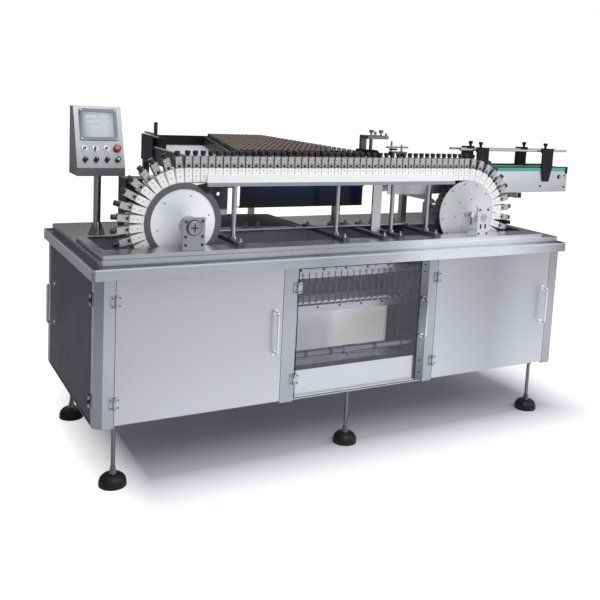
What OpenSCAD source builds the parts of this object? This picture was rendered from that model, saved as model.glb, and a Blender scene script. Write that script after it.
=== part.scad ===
// Bottle washing machine with an endless chain of bottle grippers.
// Millimetres. X runs along the front from left to right, Y to the rear, Z up from the floor.
// Inside the modules X and Y start at the left front corner of the cabinet.

/* [Cabinet] */
// Length of the cabinet front between its two corner bevels
cab_l = 2200; // [2150:5:2400]
// Depth of the cabinet
cab_w = 860; // [800:5:1000]
// Height of the cabinet body
cab_h = 560; // [520:5:640]
// Clear height under the cabinet
leg_h = 239; // [200:1:300]
// Bevel of the front corner posts
bevel = 28; // [15:1:35]
// Width of the left front post
left_post_w = 42; // [38:1:60]
// Width of the post between the left door and the window
mid_post_a_w = 60; // [45:1:80]
// Width of the post between the window and the right door
mid_post_b_w = 48; // [45:1:80]
// Width of the right front post
right_post_w = 50; // [38:1:60]
// Depth of the front posts
post_d = 60; // [50:1:80]
// Square tube of the frame
tube = 40; // [30:1:45]
// Wall of the frame tubes and posts
tube_wall = 3; // [2:0.5:4]
// Thickness of the outer sheet panels
sheet = 2; // [1.5:0.5:3]

/* [Doors] */
// Width of the left door
left_door_w = 676; // [600:1:700]
// Width of the window door
window_w = 652; // [580:1:680]
// Thickness of a folded door
door_t = 20; // [16:1:25]
// Gap round each door
door_gap = 2; // [1.5:0.5:4]
// Strip of frame left under the doors
door_sill = 9; // [6:1:20]
// Sheet of the doors
door_sheet = 1.5; // [1:0.5:2]
// Thickness of the clear pane
pane_t = 8; // [6:1:10]
// Width of the steel stile on the pane
stile_w = 38; // [30:1:50]
// Height of the pale sill panel behind the pane
sill_h = 123; // [110:1:200]
// Depth of the sill panel behind the front
sill_set = 14; // [12:1:20]

/* [Hinges and handles] */
// Height of a hinge leaf
leaf_h = 46; // [36:1:60]
// Width of a hinge leaf
leaf_w = 20; // [14:1:24]
// Thickness of a hinge leaf
leaf_t = 3; // [2:0.5:4]
// Radius of the hinge knuckle
knuckle_r = 5.5; // [4.5:0.5:8]
// Radius of the hinge pin
hinge_pin_r = 3; // [2:0.5:4]
// Height of the lower hinges above the cabinet bottom
hinge_low = 93; // [70:1:120]
// Height of the upper hinges above the cabinet bottom
hinge_high = 476; // [420:1:490]
// Distance between the two feet of a handle
handle_c = 170; // [120:1:200]
// Standoff of a handle
handle_out = 32; // [25:1:45]
// Rod of a handle
handle_rod = 10; // [8:1:14]
// Height of the handles above the cabinet bottom
handle_z = 301; // [240:1:340]

/* [Feet] */
// Radius of the rubber foot
foot_r = 52; // [40:1:60]
// Height of the rubber foot
foot_h = 46; // [36:1:60]
// Diameter of the levelling spindle
spindle_d = 16; // [12:1:20]
// Distance of the left feet from the left corner
foot_left = 55; // [55:1:90]
// Position of the middle feet along the cabinet
foot_mid = 1067; // [1000:1:1140]
// Distance of the right feet from the right corner
foot_right = 90; // [60:1:120]
// Distance of the rear feet from the rear of the cabinet
foot_rear = 110; // [90:1:150]
// Step from the cone down to the waist of the rubber foot
waist_step = 3; // [2:0.5:6]
// Height of the cone on the spindle
collar_h = 28; // [20:1:34]
// Radius of the cone on the spindle
collar_r = 15; // [12:1:18]
// Length of the spindle inside the frame tube
spindle_up = 20; // [12:1:24]
// Height of the lock nut
nut_h = 10; // [8:1:14]

/* [Worktop] */
// Height of the drip rim
rim_h = 42; // [36:1:50]
// Overhang of the rim at the left and at the rear
rim_over = 20; // [14:1:26]
// Overhang of the rim at the right
rim_over_right = 4; // [2:1:26]
// Width of the drip channel inside the rim
channel_w = 30; // [20:1:36]
// Depth of the drip channel below the rim
channel_drop = 8; // [5:1:14]
// Rise of the table top over the rim
table_rise = 26; // [20:1:34]
// Rise of the frame round the tub over the table top
curb_rise = 17; // [12:1:24]
// Front edge of the curb behind the cabinet front
curb_front = 17; // [12:1:24]
// Width of the curb at the front of the tub
curb_w_front = 105; // [90:1:115]
// Width of the curb on the other three sides of the tub
curb_w = 34; // [24:1:40]
// Depth of the tub opening
tub_w = 273; // [240:1:290]
// Distance of the tub opening from the right corner
tub_right = 128; // [120:1:160]
// Distance of the tub opening from the left corner
tub_left = 27; // [24:1:40]
// Sheet of the worktop
top_sheet = 3; // [2:0.5:4]

/* [Tank] */
// Sheet of the tank
tank_sheet = 3; // [2:0.5:4]
// Height of the tank floor above the cabinet bottom
tank_floor = 95; // [70:1:110]
// Clearance between the tank front and the cabinet front
tank_front = 68; // [66:1:72]
// Width of the splash baffle in the tank
baffle_w = 640; // [500:1:700]
// Height of the splash baffle
baffle_h = 260; // [180:1:300]
// Distance of the splash baffle behind the cabinet front
baffle_y = 304; // [280:1:340]
// Distance of the drain from the right end of the tank
drain_in = 90; // [70:1:140]
// Radius of the drain stub
drain_r = 25; // [25:1:30]
// Bore radius of the drain stub
drain_bore = 22; // [16:1:23]
// Step from the drain pipe down to its spigot
spigot_step = 1; // [0.5:0.25:1.5]
// Length of the drain spigot behind the cabinet
drain_out = 40; // [30:1:60]

/* [Bearings and drive] */
// Front face of the bearing blocks behind the cabinet front
block_y = 27; // [24:1:32]
// Width of the left bearing block
block_w = 88; // [72:1:100]
// Thickness of the bearing plates
block_t = 14; // [10:1:18]
// Radius of the bearing housings
housing_r = 36; // [30:1:40]
// Length of the bearing housings
housing_l = 68; // [50:1:80]
// Height of the left block over the axle
bearing_up = 38; // [36:1:50]
// Width of the right bearing blocks
right_w = 66; // [62:1:80]
// Width of the slots in the right block
slot_w = 9; // [6:1:12]
// Height of the slots in the right block
slot_h = 22; // [18:1:28]
// Distance of the slots from the axle
slot_in = 18; // [16:1:26]
// Thickness of the rear bearing block
rear_block_t = 24; // [18:1:30]
// Length of a shaft end past its bearing
shaft_end = 6; // [3:1:8]
// Gap between the curb and the drive behind it
gear_gap = 6; // [3:1:12]
// Width of the gearbox
gear_w = 208; // [200:1:230]
// Right side of the gearbox past the left axle
gear_right = 60; // [50:1:80]
// Depth of the gearbox
gear_d = 116; // [90:1:130]
// Height of the gearbox over the axle
gear_up = 138; // [120:1:140]
// Radius of the motor
motor_r = 56; // [45:1:62]
// Length of the motor
motor_l = 190; // [150:1:240]
// Height of the motor over the axle
gear_lift = 40; // [20:1:60]

/* [Chain loop] */
// Pitch of the roller chain
pitch = 31.75; // [31.75]
// Pitches of the chain round a whole wheel
teeth = 32; // [32]
// Least distance of the right wheel axle from the right corner
wheel_right = 450; // [440:1:460]
// Position of the left wheel axle along the cabinet
wheel_x = 341; // [330:1:350]
// Height of the wheel axles
axle_z = 972; // [955:1:990]
// Front face of the wheels behind the cabinet front
wheel_y = 150; // [146:1:154]
// Depth of the wheel drum
drum_w = 78; // [70:1:80]
// Radius of the front flange of a wheel
flange_r = 156; // [153:0.5:157]
// Inner radius of the ring screwed on the left wheel
ring_r = 132; // [125:1:138]
// Thickness of the wheel flanges
flange_t = 6; // [4:0.5:8]
// Step from the wheel flange down to the drum
drum_step = 14; // [10:1:20]
// Step from the wheel flange down to the drum ribs
rib_step = 5; // [3:0.5:8]
// Width of a drum rib
rib_w = 9; // [6:1:12]
// Radius of the wheel hub
hub_r = 44; // [36:1:60]
// Depth of the scallops in the rim that carries the chain
scallop = 3; // [1:0.5:4]
// Thickness of the ring screwed on the left wheel
ring_t = 3; // [2:0.5:4]
// Radius of the screw heads
screw_r = 4; // [3:0.5:5]
// Radius of the wheel shafts
shaft_r = 15; // [12:0.5:16]
// Roller radius of the chain
roller_r = 9.5; // [9:0.1:9.6]
// Radius of the chain pins
pin_r = 4.75; // [4:0.25:5]
// Inner width of the chain
chain_inner = 19; // [18:0.5:20]
// Plate thickness of the chain
plate_t = 3; // [2.5:0.25:3.25]
// Half height of the chain plates
plate_r = 12.5; // [11:0.5:13]

/* [Grippers] */
// Width of a gripper body along the chain
body_w = 29; // [24:0.5:29.5]
// Step from the side of a body in to its jaws
jaw_in = 1; // [0.5:0.25:2]
// Depth of a gripper body
body_d = 72; // [68:1:74]
// Distance of the body top from the chain centre line
body_top = 50; // [44:1:54]
// Thickness of a jaw plate
jaw_t = 2.5; // [2:0.5:3]
// Height of the jaws above the body
jaw_h = 48; // [40:1:54]
// Radius of a bottle
bottle_r = 12; // [10:0.5:12]
// Height of a bottle
bottle_h = 68; // [60:1:72]

/* [Chain guides] */
// Height of the white nylon guide rail
rail_h = 32; // [26:1:34]
// Thickness of the white nylon guide rail
rail_t = 10; // [8:1:12]
// Height of the steel bar under the guide rail
bar_h = 15; // [12:1:20]
// Diameter of the rail posts
rail_post_d = 20; // [16:1:24]
// Length left free at both ends of the guide rails, from the axles
rail_in = 90; // [80:1:120]
// Width of a black cross bar over the tub
cross_w = 30; // [26:1:40]
// Height of a black cross bar over the tub
cross_h = 16; // [12:1:20]
// Front end of a cross bar behind the edge of the curb
cross_in = 33; // [20:1:50]
// Width of the flat post
flat_w = 45; // [36:1:56]
// Height of the splash rail in the window above the cabinet bottom
sill_bar_z = 506; // [490:1:520]
// Height of the splash rail in the window
sill_bar_h = 25; // [18:1:30]
// Distance of the splash rail behind the cabinet front
sill_bar_y = 115; // [100:1:125]
// Height of the spray header above the cabinet bottom
header_z = 322; // [310:1:335]
// Height of the spray header
header_h = 30; // [24:1:36]
// Radius of a spray nozzle
nozzle_r = 3; // [2:0.5:4]
// Length of a spray nozzle
nozzle_l = 84; // [60:1:86]

/* [Water] */
// Radius of the water pipe
pipe_r = 13; // [11:0.5:18]
// Height of the water pipe above the cabinet bottom
pipe_z = 180; // [150:1:200]
// Distance of the water pipe behind the cabinet front
pipe_y = 42; // [38:1:46]
// Position of the valve along the cabinet
valve_x = 1061; // [950:1:1250]
// Radius of the valve body
valve_r = 18; // [17:1:20]
// Length of the valve body
valve_l = 62; // [50:1:80]
// Radius of the valve stem
stem_r = 5; // [4:0.5:7]
// Length of the valve lever
lever_l = 90; // [60:1:100]
// Width of the valve lever
lever_w = 18; // [14:1:22]
// Thickness of the valve lever
lever_t = 5; // [3:0.5:8]
// Position of the pump along the cabinet
pump_x = 420; // [380:1:600]
// Distance of the pump behind the cabinet front
pump_y = 520; // [480:1:560]
// Radius of the pump motor
pump_r = 70; // [50:1:80]
// Length of the pump motor
pump_l = 210; // [160:1:240]

/* [Control box] */
// Position of the control post along the cabinet
hmi_x = 104; // [95:1:115]
// Distance of the control post behind the front
hmi_y = 546; // [500:1:580]
// Diameter of the control post
hmi_post_d = 30; // [25:1:38]
// Underside of the control box above the floor
hmi_z = 1118; // [1080:1:1150]
// Width of the control box
hmi_w = 194; // [185:1:230]
// Depth of the control box at its foot
hmi_d = 150; // [135:1:170]
// Height of the control box
hmi_h = 278; // [265:1:300]
// Height of the upright band below the slope
hmi_band = 33; // [25:1:45]
// Run of the sloped front
hmi_run = 92; // [70:1:100]
// Wall of the control box
hmi_wall = 2.5; // [2:0.5:4]
// Radius of the base of the control post
hmi_base_r = 33; // [28:1:40]
// Part of the control box depth in front of the post
hmi_fore = 66; // [55:1:80]
// Width of the screen bezel
bezel_w = 154; // [120:1:165]
// Height of the screen bezel
bezel_h = 135; // [100:1:140]
// Thickness of the screen bezel
bezel_t = 4; // [3:0.5:6]
// Border of the bezel round the screen
bezel_in = 14; // [8:1:20]
// Stem radius of the controls
ctrl_r = 8; // [7:0.5:9]
// Collar width round the controls
collar_w = 3.5; // [2:0.5:4]
// Height of the collars and of the raised controls over them
ctrl_h = 5; // [4:0.5:7]
// Travel of a push button
press = 3; // [2:0.5:3]
// Radius of the mushroom head
mushroom_r = 16; // [12:0.5:17]
// Radius of the turning knobs
knob_r = 10.5; // [9:0.5:12]
// Height of the turning knobs
knob_h = 13; // [10:0.5:16]

/* [Feed table] */
// Left edge of the feed table along the cabinet
feed_x = 560; // [550:1:600]
// Width of the feed table
feed_w = 655; // [620:1:680]
// Front edge of the feed table behind the cabinet front
feed_y = 240; // [238:1:246]
// Length of the feed table
feed_l = 1200; // [1000:10:1400]
// Thickness of the deck plate
deck_t = 6; // [4:1:8]
// Height of the feed table frame under its deck
feed_frame_h = 84; // [70:1:90]
// Wall distance of the apron from the left edge of the deck
apron_in = 53; // [40:1:70]
// Thickness of the apron
apron_t = 3; // [2:0.5:4]
// Drop of the apron under the deck surface
apron_drop = 24; // [20:1:30]
// Height of the rear post over the deck
feed_post_h = 117; // [80:1:140]
// Width of the drive plates left of the feed table
cam_w = 83; // [60:1:90]
// Height of the drive plates
cam_h = 115; // [90:1:130]
// Drop of the drive plates under the deck surface
cam_drop = 85; // [70:1:100]
// Height of the side rails over the deck
feed_rail_h = 52; // [40:1:70]
// Square tube of the feed table
feed_tube = 30; // [25:1:35]
// Height of the glossy front apron
apron_h = 150; // [120:1:160]
// Distance of the rear end of the divider from the left edge of the deck
divider_in = 324; // [280:1:340]
// Length of the short rail at the rear left of the deck
left_rail_l = 300; // [200:10:340]
// Close rows of bottles at the front of the deck
deck_rows = 4; // [2:1:6]
// Row steps between the looser rows behind them
rear_step = 3; // [3:1:5]
// Gap between the deck bottles and the rails round them
deck_gap = 1; // [0.5:0.25:3]
// Gap between neighbouring bottles on the deck
lane_gap = 2.8; // [2:0.1:2.8]
// Thickness of the bridge plate between the deck and the conveyor
bridge_t = 6; // [4:1:8]
// Height of the transfer head over the deck
head_h = 136; // [120:1:150]
// Radius of the star wheel
star_r = 34; // [26:1:36]
// Width of the transfer head from the deck to the conveyor
head_w = 130; // [120:1:165]
// Pockets of the star wheel
star_n = 6; // [5:1:7]
// Height of the star wheel over the deck
star_z = 58; // [50:1:70]

/* [Discharge conveyor] */
// Right end of the conveyor along the cabinet
conv_end = 2460; // [2400:5:2600]
// Width of the conveyor over its side plates
conv_w = 110; // [100:1:130]
// Front of the conveyor behind the cabinet front
conv_y = 240; // [236:1:246]
// Height of the conveyor side plates
conv_h = 128; // [118:1:132]
// Thickness of the side plates
conv_t = 4; // [3:0.5:6]
// Thickness of the belt
belt_t = 4; // [3:0.5:5]
// Radius of the belt pulleys
pulley_r = 46; // [40:1:48]
// Radius of a pulley axle
axle_r = 8; // [6:0.5:10]
// Supports of the conveyor along the cabinet, from its left end
conv_leg_a = 220; // [200:1:300]
// Second support of the conveyor, from its left end
conv_leg_b = 780; // [770:1:800]
// Distance of a pulley axle from the end of the belt
belt_end = 2; // [1:0.5:5]
// Left end of the guide rods, from the left end of the conveyor
guide_from = 411; // [300:1:450]
// Width of a guide bracket
bracket_w = 72; // [50:1:90]
// Thickness of a guide bracket
bracket_t = 8; // [5:1:8]
// Reach of a short bracket below the belt
bracket_drop = 20; // [16:1:30]
// Reach of the tapered bracket below the belt
bracket_drop_long = 74; // [60:1:90]
// Height of the guide rods over the belt
guide_z = 82; // [70:1:95]
// Diameter of the guide rods
guide_d = 12; // [8:1:14]

/* [Hidden] */
$fn = 48;

// Overrun of cuts past the faces they open
cut = 1;
// Radial clearance of a turning fit
fit = 0.05;
// Clearance between neighbours that don't touch
free = 0.3;

// Heights of the cabinet
cab_z0 = leg_h;
cab_z1 = leg_h + cab_h;
rim_z = cab_z1 + rim_h;
table_z = rim_z + table_rise;
curb_z = table_z + curb_rise;

// Stations along the front
ld_x0 = left_post_w;
ld_x1 = ld_x0 + left_door_w;
wd_x0 = ld_x1 + mid_post_a_w;
wd_x1 = wd_x0 + window_w;
rd_x0 = wd_x1 + mid_post_b_w;
rd_x1 = cab_l - right_post_w;
door_z0 = cab_z0 + door_sill;
door_h = cab_z1 - door_gap - door_z0;
side_x = -bevel;
side_y0 = post_d;
side_y1 = cab_w - sheet - tube;
frame_set = door_t + door_gap * 2;

// Tub and tank
tub_x0 = tub_left;
tub_x1 = cab_l - tub_right;
tub_y0 = curb_front + curb_w_front;
tub_y1 = tub_y0 + tub_w;
curb_x0 = tub_x0 - curb_w;
curb_x1 = tub_x1 + curb_w;
curb_y1 = tub_y1 + curb_w;
tank_x0 = tub_x0 - curb_w / 3;
tank_x1 = tub_x1 + curb_w / 3;
tank_y1 = tub_y1 + curb_w / 3;
tank_z0 = cab_z0 + tank_floor;
tank_z1 = curb_z - top_sheet;

// Chain loop
pitch_r = pitch / 2 / sin(180 / teeth);
run_links = 2 * floor((cab_l - wheel_x - wheel_right) / pitch / 2);
wheel_x2 = wheel_x + run_links * pitch;
half_teeth = teeth / 2;
loop_links = 2 * run_links + teeth;
chord_r = pitch_r * cos(180 / teeth);
chain_y = wheel_y + drum_w / 2 + roller_r;
body_y0 = wheel_y - free;
bottle_y = wheel_y + body_d / 4;
jaw_gap = bottle_r + free;
bottle_base = body_top + free;
bottle_z = axle_z + pitch_r + bottle_base;
guide_y = wheel_y - rail_t - free * 4;

// Rear drive
gear_y = curb_y1 + gear_gap;

// Feed table and conveyor
deck_z = bottle_z;
belt_z = bottle_z;
feed_x1 = feed_x + feed_w;
feed_y1 = feed_y + feed_l;
conv_x = feed_x1 + head_w;

// Row frame at the centre of the bottom of the whole machine
all_x0 = side_x - handle_out - handle_rod / 2;
all_y0 = -handle_out - handle_rod / 2;
mid_x = (all_x0 + conv_end - belt_end) / 2;
mid_y = (all_y0 + feed_y1) / 2;

// Moves a piece from the cabinet corner to the row frame
module set_up() {
    translate([-mid_x, -mid_y, 0]) children();
}

// Box between two corners
module block(a, b) {
    translate(a) cube(b - a);
}

// Flat outline with round corners, from two corners
module round_outline(a, b, r) {
    translate([a.x + r, a.y]) square([b.x - a.x - 2 * r, b.y - a.y]);
    translate([a.x, a.y + r]) square([b.x - a.x, b.y - a.y - 2 * r]);
    for (x = [a.x + r, b.x - r], y = [a.y + r, b.y - r]) translate([x, y]) circle(r = r);
}

// Flat ring between two such outlines
module round_ring(a, b, r, t) {
    difference() {
        round_outline(a, b, r);
        round_outline([a.x + t, a.y + t], [b.x - t, b.y - t], max(r - t, t / 2));
    }
}

// Rod along X, Y or Z that starts at a point
module rod_x(p, r, l) {
    translate(p) rotate([0, 90, 0]) cylinder(r = r, h = l);
}
module rod_y(p, r, l) {
    translate(p) rotate([-90, 0, 0]) cylinder(r = r, h = l);
}
module rod_z(p, r, l) {
    translate(p) cylinder(r = r, h = l);
}

// Hollow square tube between two corners, open at both ends along its longest side
module hollow(a, b, axis) {
    e = [axis == 0 ? -cut : tube_wall, axis == 1 ? -cut : tube_wall, axis == 2 ? -cut : tube_wall];
    difference() {
        block(a, b);
        block(a + e, b - e);
    }
}

// Frame of welded tube with folded corner posts that reach up to the drip channel
seat_h = cab_h + rim_h - channel_drop - top_sheet;
side_tube_w = tank_x0 - free * 5 - side_x - frame_set;
foot_rail_y = cab_w - foot_rear - tube / 2;
right_x = cab_l + bevel - sheet - tube;
module corner_post(side) {
    w = side > 0 ? left_post_w : right_post_w;
    difference() {
        linear_extrude(seat_h) polygon([[-bevel, bevel], [0, 0], [w, 0], [w, post_d], [-bevel, post_d]]);
        translate([0, bevel / 2, -cut])
            cube([w - tube_wall, post_d - bevel / 2 - tube_wall, seat_h + 2 * cut]);
    }
}
module frame_tubes() {
    corner_post(1);
    translate([cab_l, 0, 0]) mirror([1, 0, 0]) corner_post(-1);
    hollow([ld_x1, 0, 0], [wd_x0, post_d, seat_h], 2);
    hollow([wd_x1, 0, 0], [rd_x0, post_d, seat_h], 2);
    for (x = [side_x, right_x])
        hollow([x, side_y1, 0], [x + tube, side_y1 + tube, seat_h], 2);
    for (z = [0, cab_h - tube]) {
        for (x = [[left_post_w, ld_x1], [rd_x0, rd_x1]])
            hollow([x[0], frame_set, z], [x[1], frame_set + tube, z + tube], 0);
        hollow([side_x + tube, side_y1, z], [right_x, side_y1 + tube, z + tube], 0);
        hollow([side_x + frame_set, post_d, z], [side_x + frame_set + side_tube_w, side_y1, z + tube], 1);
        hollow([right_x, post_d, z], [right_x + tube, side_y1, z + tube], 1);
    }
    hollow([wd_x0, frame_set, 0], [wd_x1, frame_set + tube, tube], 0);
    hollow([side_x + frame_set + side_tube_w, foot_rail_y, 0], [right_x, foot_rail_y + tube, tube], 0);
}
module base_frame() set_up() color("silver") translate([0, 0, cab_z0]) difference() {
    frame_tubes();
    for (x = foot_xs(), y = foot_ys()) rod_z([x, y, -cut], spindle_d / 2 + free, tube_wall + 2 * cut);
}

// Rear, right and floor panels with the sill behind the pane
module cabinet_panels() set_up() color("gainsboro") {
    difference() {
        block([side_x, cab_w - sheet, cab_z0], [cab_l + bevel, cab_w, cab_z1]);
        rod_y([drain_x, cab_w - sheet - cut, drain_z], drain_r + free, sheet + 2 * cut);
    }
    block([cab_l + bevel - sheet, post_d, cab_z0], [cab_l + bevel, cab_w - sheet, cab_z1]);
    difference() {
        block([side_x, bevel, cab_z0 - sheet], [cab_l + bevel, cab_w, cab_z0]);
        for (x = foot_xs(), y = foot_ys())
            rod_z([x, y, cab_z0 - sheet - cut], spindle_d / 2 + free, sheet + 2 * cut);
    }
    block([wd_x0, sill_set, cab_z0], [wd_x1, sill_set + sheet, cab_z0 + sill_h]);
}

// Worktop: drip rim, channel, raised table and curb round the tub
rim_x0 = side_x - rim_over;
rim_x1 = cab_l + bevel + rim_over_right;
rim_y0 = -rim_over;
rim_y1 = cab_w + rim_over;
corner_r = 14;
module worktop() set_up() color("lightgray") {
    a = [rim_x0, rim_y0];
    b = [rim_x1, rim_y1];
    c = [channel_w, channel_w];
    channel_z = rim_z - channel_drop;
    ca = [curb_x0, curb_front];
    cb = [curb_x1, curb_y1];
    translate([0, 0, cab_z1]) linear_extrude(rim_h) round_ring(a, b, corner_r, top_sheet);
    difference() {
        translate([0, 0, channel_z - top_sheet]) linear_extrude(top_sheet) round_outline(a, b, corner_r);
        translate([0, 0, channel_z - top_sheet - cut]) linear_extrude(top_sheet + 2 * cut)
            round_outline(a + c + [top_sheet, top_sheet], b - c - [top_sheet, top_sheet], corner_r);
    }
    translate([0, 0, channel_z - top_sheet]) linear_extrude(table_z - channel_z + top_sheet)
        round_ring(a + c, b - c, corner_r, top_sheet);
    difference() {
        translate([0, 0, table_z - top_sheet]) linear_extrude(top_sheet)
            round_outline(a + c, b - c, corner_r);
        translate([0, 0, table_z - top_sheet - cut]) linear_extrude(top_sheet + 2 * cut)
            round_outline(ca + [top_sheet, top_sheet], cb - [top_sheet, top_sheet], corner_r / 2);
    }
    translate([0, 0, table_z - top_sheet]) linear_extrude(curb_rise + top_sheet)
        round_ring(ca, cb, corner_r / 2, top_sheet);
    difference() {
        translate([0, 0, curb_z - top_sheet]) linear_extrude(top_sheet) round_outline(ca, cb, corner_r / 2);
        translate([0, 0, curb_z - top_sheet - cut]) linear_extrude(top_sheet + 2 * cut)
            square_at([tub_x0, tub_y0], [tub_x1, tub_y1]);
    }
}
module square_at(a, b) {
    translate(a) square(b - a);
}

// Open tank under the tub opening, with a window in its front wall, a baffle and a drain
drain_x = tank_x1 - drain_in;
drain_z = tank_z0 + drain_r + tank_sheet * 2;
module wash_tank() set_up() color("darkgray") {
    wall = [tank_sheet, tank_sheet, tank_sheet];
    floor_z = tank_z0 + tank_sheet;
    baffle_x = (wd_x0 + wd_x1 - baffle_w) / 2;
    difference() {
        union() {
            difference() {
                block([tank_x0, tank_front, tank_z0], [tank_x1, tank_y1, tank_z1]);
                block([tank_x0, tank_front, tank_z0] + wall,
                    [tank_x1 - tank_sheet, tank_y1 - tank_sheet, tank_z1 + cut]);
            }
            rod_y([drain_x, tank_y1 - tank_sheet, drain_z], drain_r, cab_w - tank_y1 + tank_sheet);
            rod_y([drain_x, cab_w - cut, drain_z], drain_r - spigot_step, drain_out + cut);
        }
        block([wd_x0, tank_front - cut, cab_z0 + sill_h],
            [wd_x1, tank_front + tank_sheet + cut, cab_z1 - door_gap]);
        rod_y([drain_x, tank_y1 - tank_sheet - cut, drain_z], drain_bore,
            cab_w + drain_out - tank_y1 + tank_sheet + 2 * cut);
    }
    block([baffle_x, baffle_y, floor_z], [baffle_x + baffle_w, baffle_y + tank_sheet, floor_z + baffle_h]);
    for (x = [baffle_x, baffle_x + baffle_w - tank_sheet])
        block([x, baffle_y, floor_z], [x + tank_sheet, tank_y1 - tank_sheet, floor_z + baffle_h]);
}

// Levelling feet
function foot_xs() = [foot_left, foot_mid, cab_l - foot_right];
function foot_ys() = [frame_set + tube / 2, cab_w - foot_rear];
module foot_spindles() set_up() color("gray") {
    for (x = foot_xs(), y = foot_ys()) translate([x, y, 0]) {
        translate([0, 0, foot_h]) rotate_extrude()
            polygon([[0, 0], [collar_r, 0], [collar_r * 0.6, collar_h], [0, collar_h]]);
        rod_z([0, 0, foot_h], spindle_d / 2, cab_z0 + spindle_up - foot_h);
        translate([0, 0, cab_z0 - sheet - nut_h]) cylinder(d = spindle_d * 1.7, h = nut_h, $fn = 6);
    }
}
module foot_pads() set_up() color("black") {
    waist_r = collar_r + waist_step;
    lip_h = foot_h / 4;
    for (x = foot_xs(), y = foot_ys()) translate([x, y, 0]) rotate_extrude()
        polygon([[0, 0], [foot_r, 0], [foot_r, lip_h], for (i = [0:6])
            [waist_r + (foot_r - waist_r) * cos(i * 15), lip_h + (foot_h - lip_h) * sin(i * 15)],
            [0, foot_h]]);
}

// Hinges: local x points along the door away from the axis, y into the cabinet
module knuckle(z0, z1, bored) {
    difference() {
        rod_z([0, -knuckle_r, z0], knuckle_r, z1 - z0);
        if (bored) rod_z([0, -knuckle_r, z0 - cut], hinge_pin_r + fit, z1 - z0 + 2 * cut);
    }
}
module fixed_leaf() {
    third = leaf_h / 3;
    difference() {
        block([-leaf_w, -leaf_t, 0], [0, 0, leaf_h]);
        rod_z([0, -knuckle_r, third - free], knuckle_r + free, third + 2 * free);
    }
    knuckle(0, third - free, false);
    knuckle(2 * third + free, leaf_h, false);
    rod_z([0, -knuckle_r, 0], hinge_pin_r, leaf_h);
}
module moving_leaf() {
    third = leaf_h / 3;
    difference() {
        union() {
            block([knuckle_r + free, -leaf_t, 0], [leaf_w, 0, leaf_h]);
            block([0, -leaf_t, third], [leaf_w, 0, 2 * third]);
            rod_z([0, -knuckle_r, third], knuckle_r, third);
        }
        rod_z([0, -knuckle_r, third - cut], hinge_pin_r + fit, third + 2 * cut);
    }
}
module on_hinges() {
    for (z = [hinge_low, hinge_high]) translate([door_gap / 2, 0, z - leaf_h / 2]) children();
}
module on_left_door() translate([ld_x0, 0, cab_z0]) children();
module on_window() translate([wd_x0, 0, cab_z0]) children();
module on_right_door() translate([rd_x0, 0, cab_z0]) children();
module on_side_door() translate([side_x, side_y0, cab_z0]) mirror([1, -1, 0]) children();
module fixed_hinges() set_up() color("silver") {
    on_left_door() on_hinges() fixed_leaf();
    on_window() on_hinges() fixed_leaf();
    on_right_door() on_hinges() fixed_leaf();
    on_side_door() on_hinges() fixed_leaf();
}

// Folded door panel, open at the back inside its return lips
module door_pan(w) {
    lip = door_t;
    a = [door_gap, 0, door_sill];
    b = [w - door_gap, door_t, door_sill + door_h];
    s = door_sheet;
    difference() {
        block(a, b);
        block(a + [s, s, s], b - [s, s, s]);
        block(a + [lip, s, lip], b + [-lip, cut, -lip]);
    }
}
bend_r = handle_rod;
module pull_handle() {
    h = handle_c / 2;
    r = handle_rod / 2;
    translate([0, -handle_out, -h + bend_r]) cylinder(r = r, h = handle_c - 2 * bend_r);
    for (s = [-1, 1]) {
        rod_y([0, -handle_out + bend_r, s * h], r, handle_out - bend_r);
        translate([0, -handle_out + bend_r, s * (h - bend_r)]) rotate([0, s * 90 - 90, 0]) rotate([0, 90, 0])
            rotate([0, 0, 180]) rotate_extrude(angle = 90) translate([bend_r, 0]) circle(r = r);
        rod_y([0, -leaf_t, s * h], handle_rod, leaf_t);
    }
}
pull_inset = 34;
module left_door() set_up() color("silver") on_left_door() {
    door_pan(left_door_w);
    on_hinges() moving_leaf();
}
module left_door_handle() set_up() color("white") on_left_door()
    translate([left_door_w - pull_inset, 0, handle_z]) pull_handle();
right_door_w = rd_x1 - rd_x0;
module right_door() set_up() color("silver") on_right_door() {
    door_pan(right_door_w);
    on_hinges() moving_leaf();
}
module right_door_handle() set_up() color("white") on_right_door()
    translate([right_door_w - pull_inset, 0, handle_z]) pull_handle();
side_door_w = side_y1 - side_y0;
module side_door() set_up() color("slategray") on_side_door() {
    door_pan(side_door_w);
    on_hinges() moving_leaf();
}
module side_door_handle() set_up() color("white") on_side_door()
    translate([side_door_w - pull_inset * 3, 0, handle_z]) pull_handle();

// Window door: clear pane with a steel stile on its closing edge
module window_pane() set_up() color("lightblue") on_window()
    block([door_gap, 0, door_sill], [window_w - door_gap - stile_w, pane_t, door_sill + door_h]);
module window_stile() set_up() color("gainsboro") on_window() {
    translate([window_w - door_gap - stile_w / 2, 0, handle_z]) pull_handle();
    x0 = window_w - door_gap - stile_w;
    block([x0, 0, door_sill], [x0 + stile_w, pane_t, door_sill + door_h]);
    on_hinges() moving_leaf();
}

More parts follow.
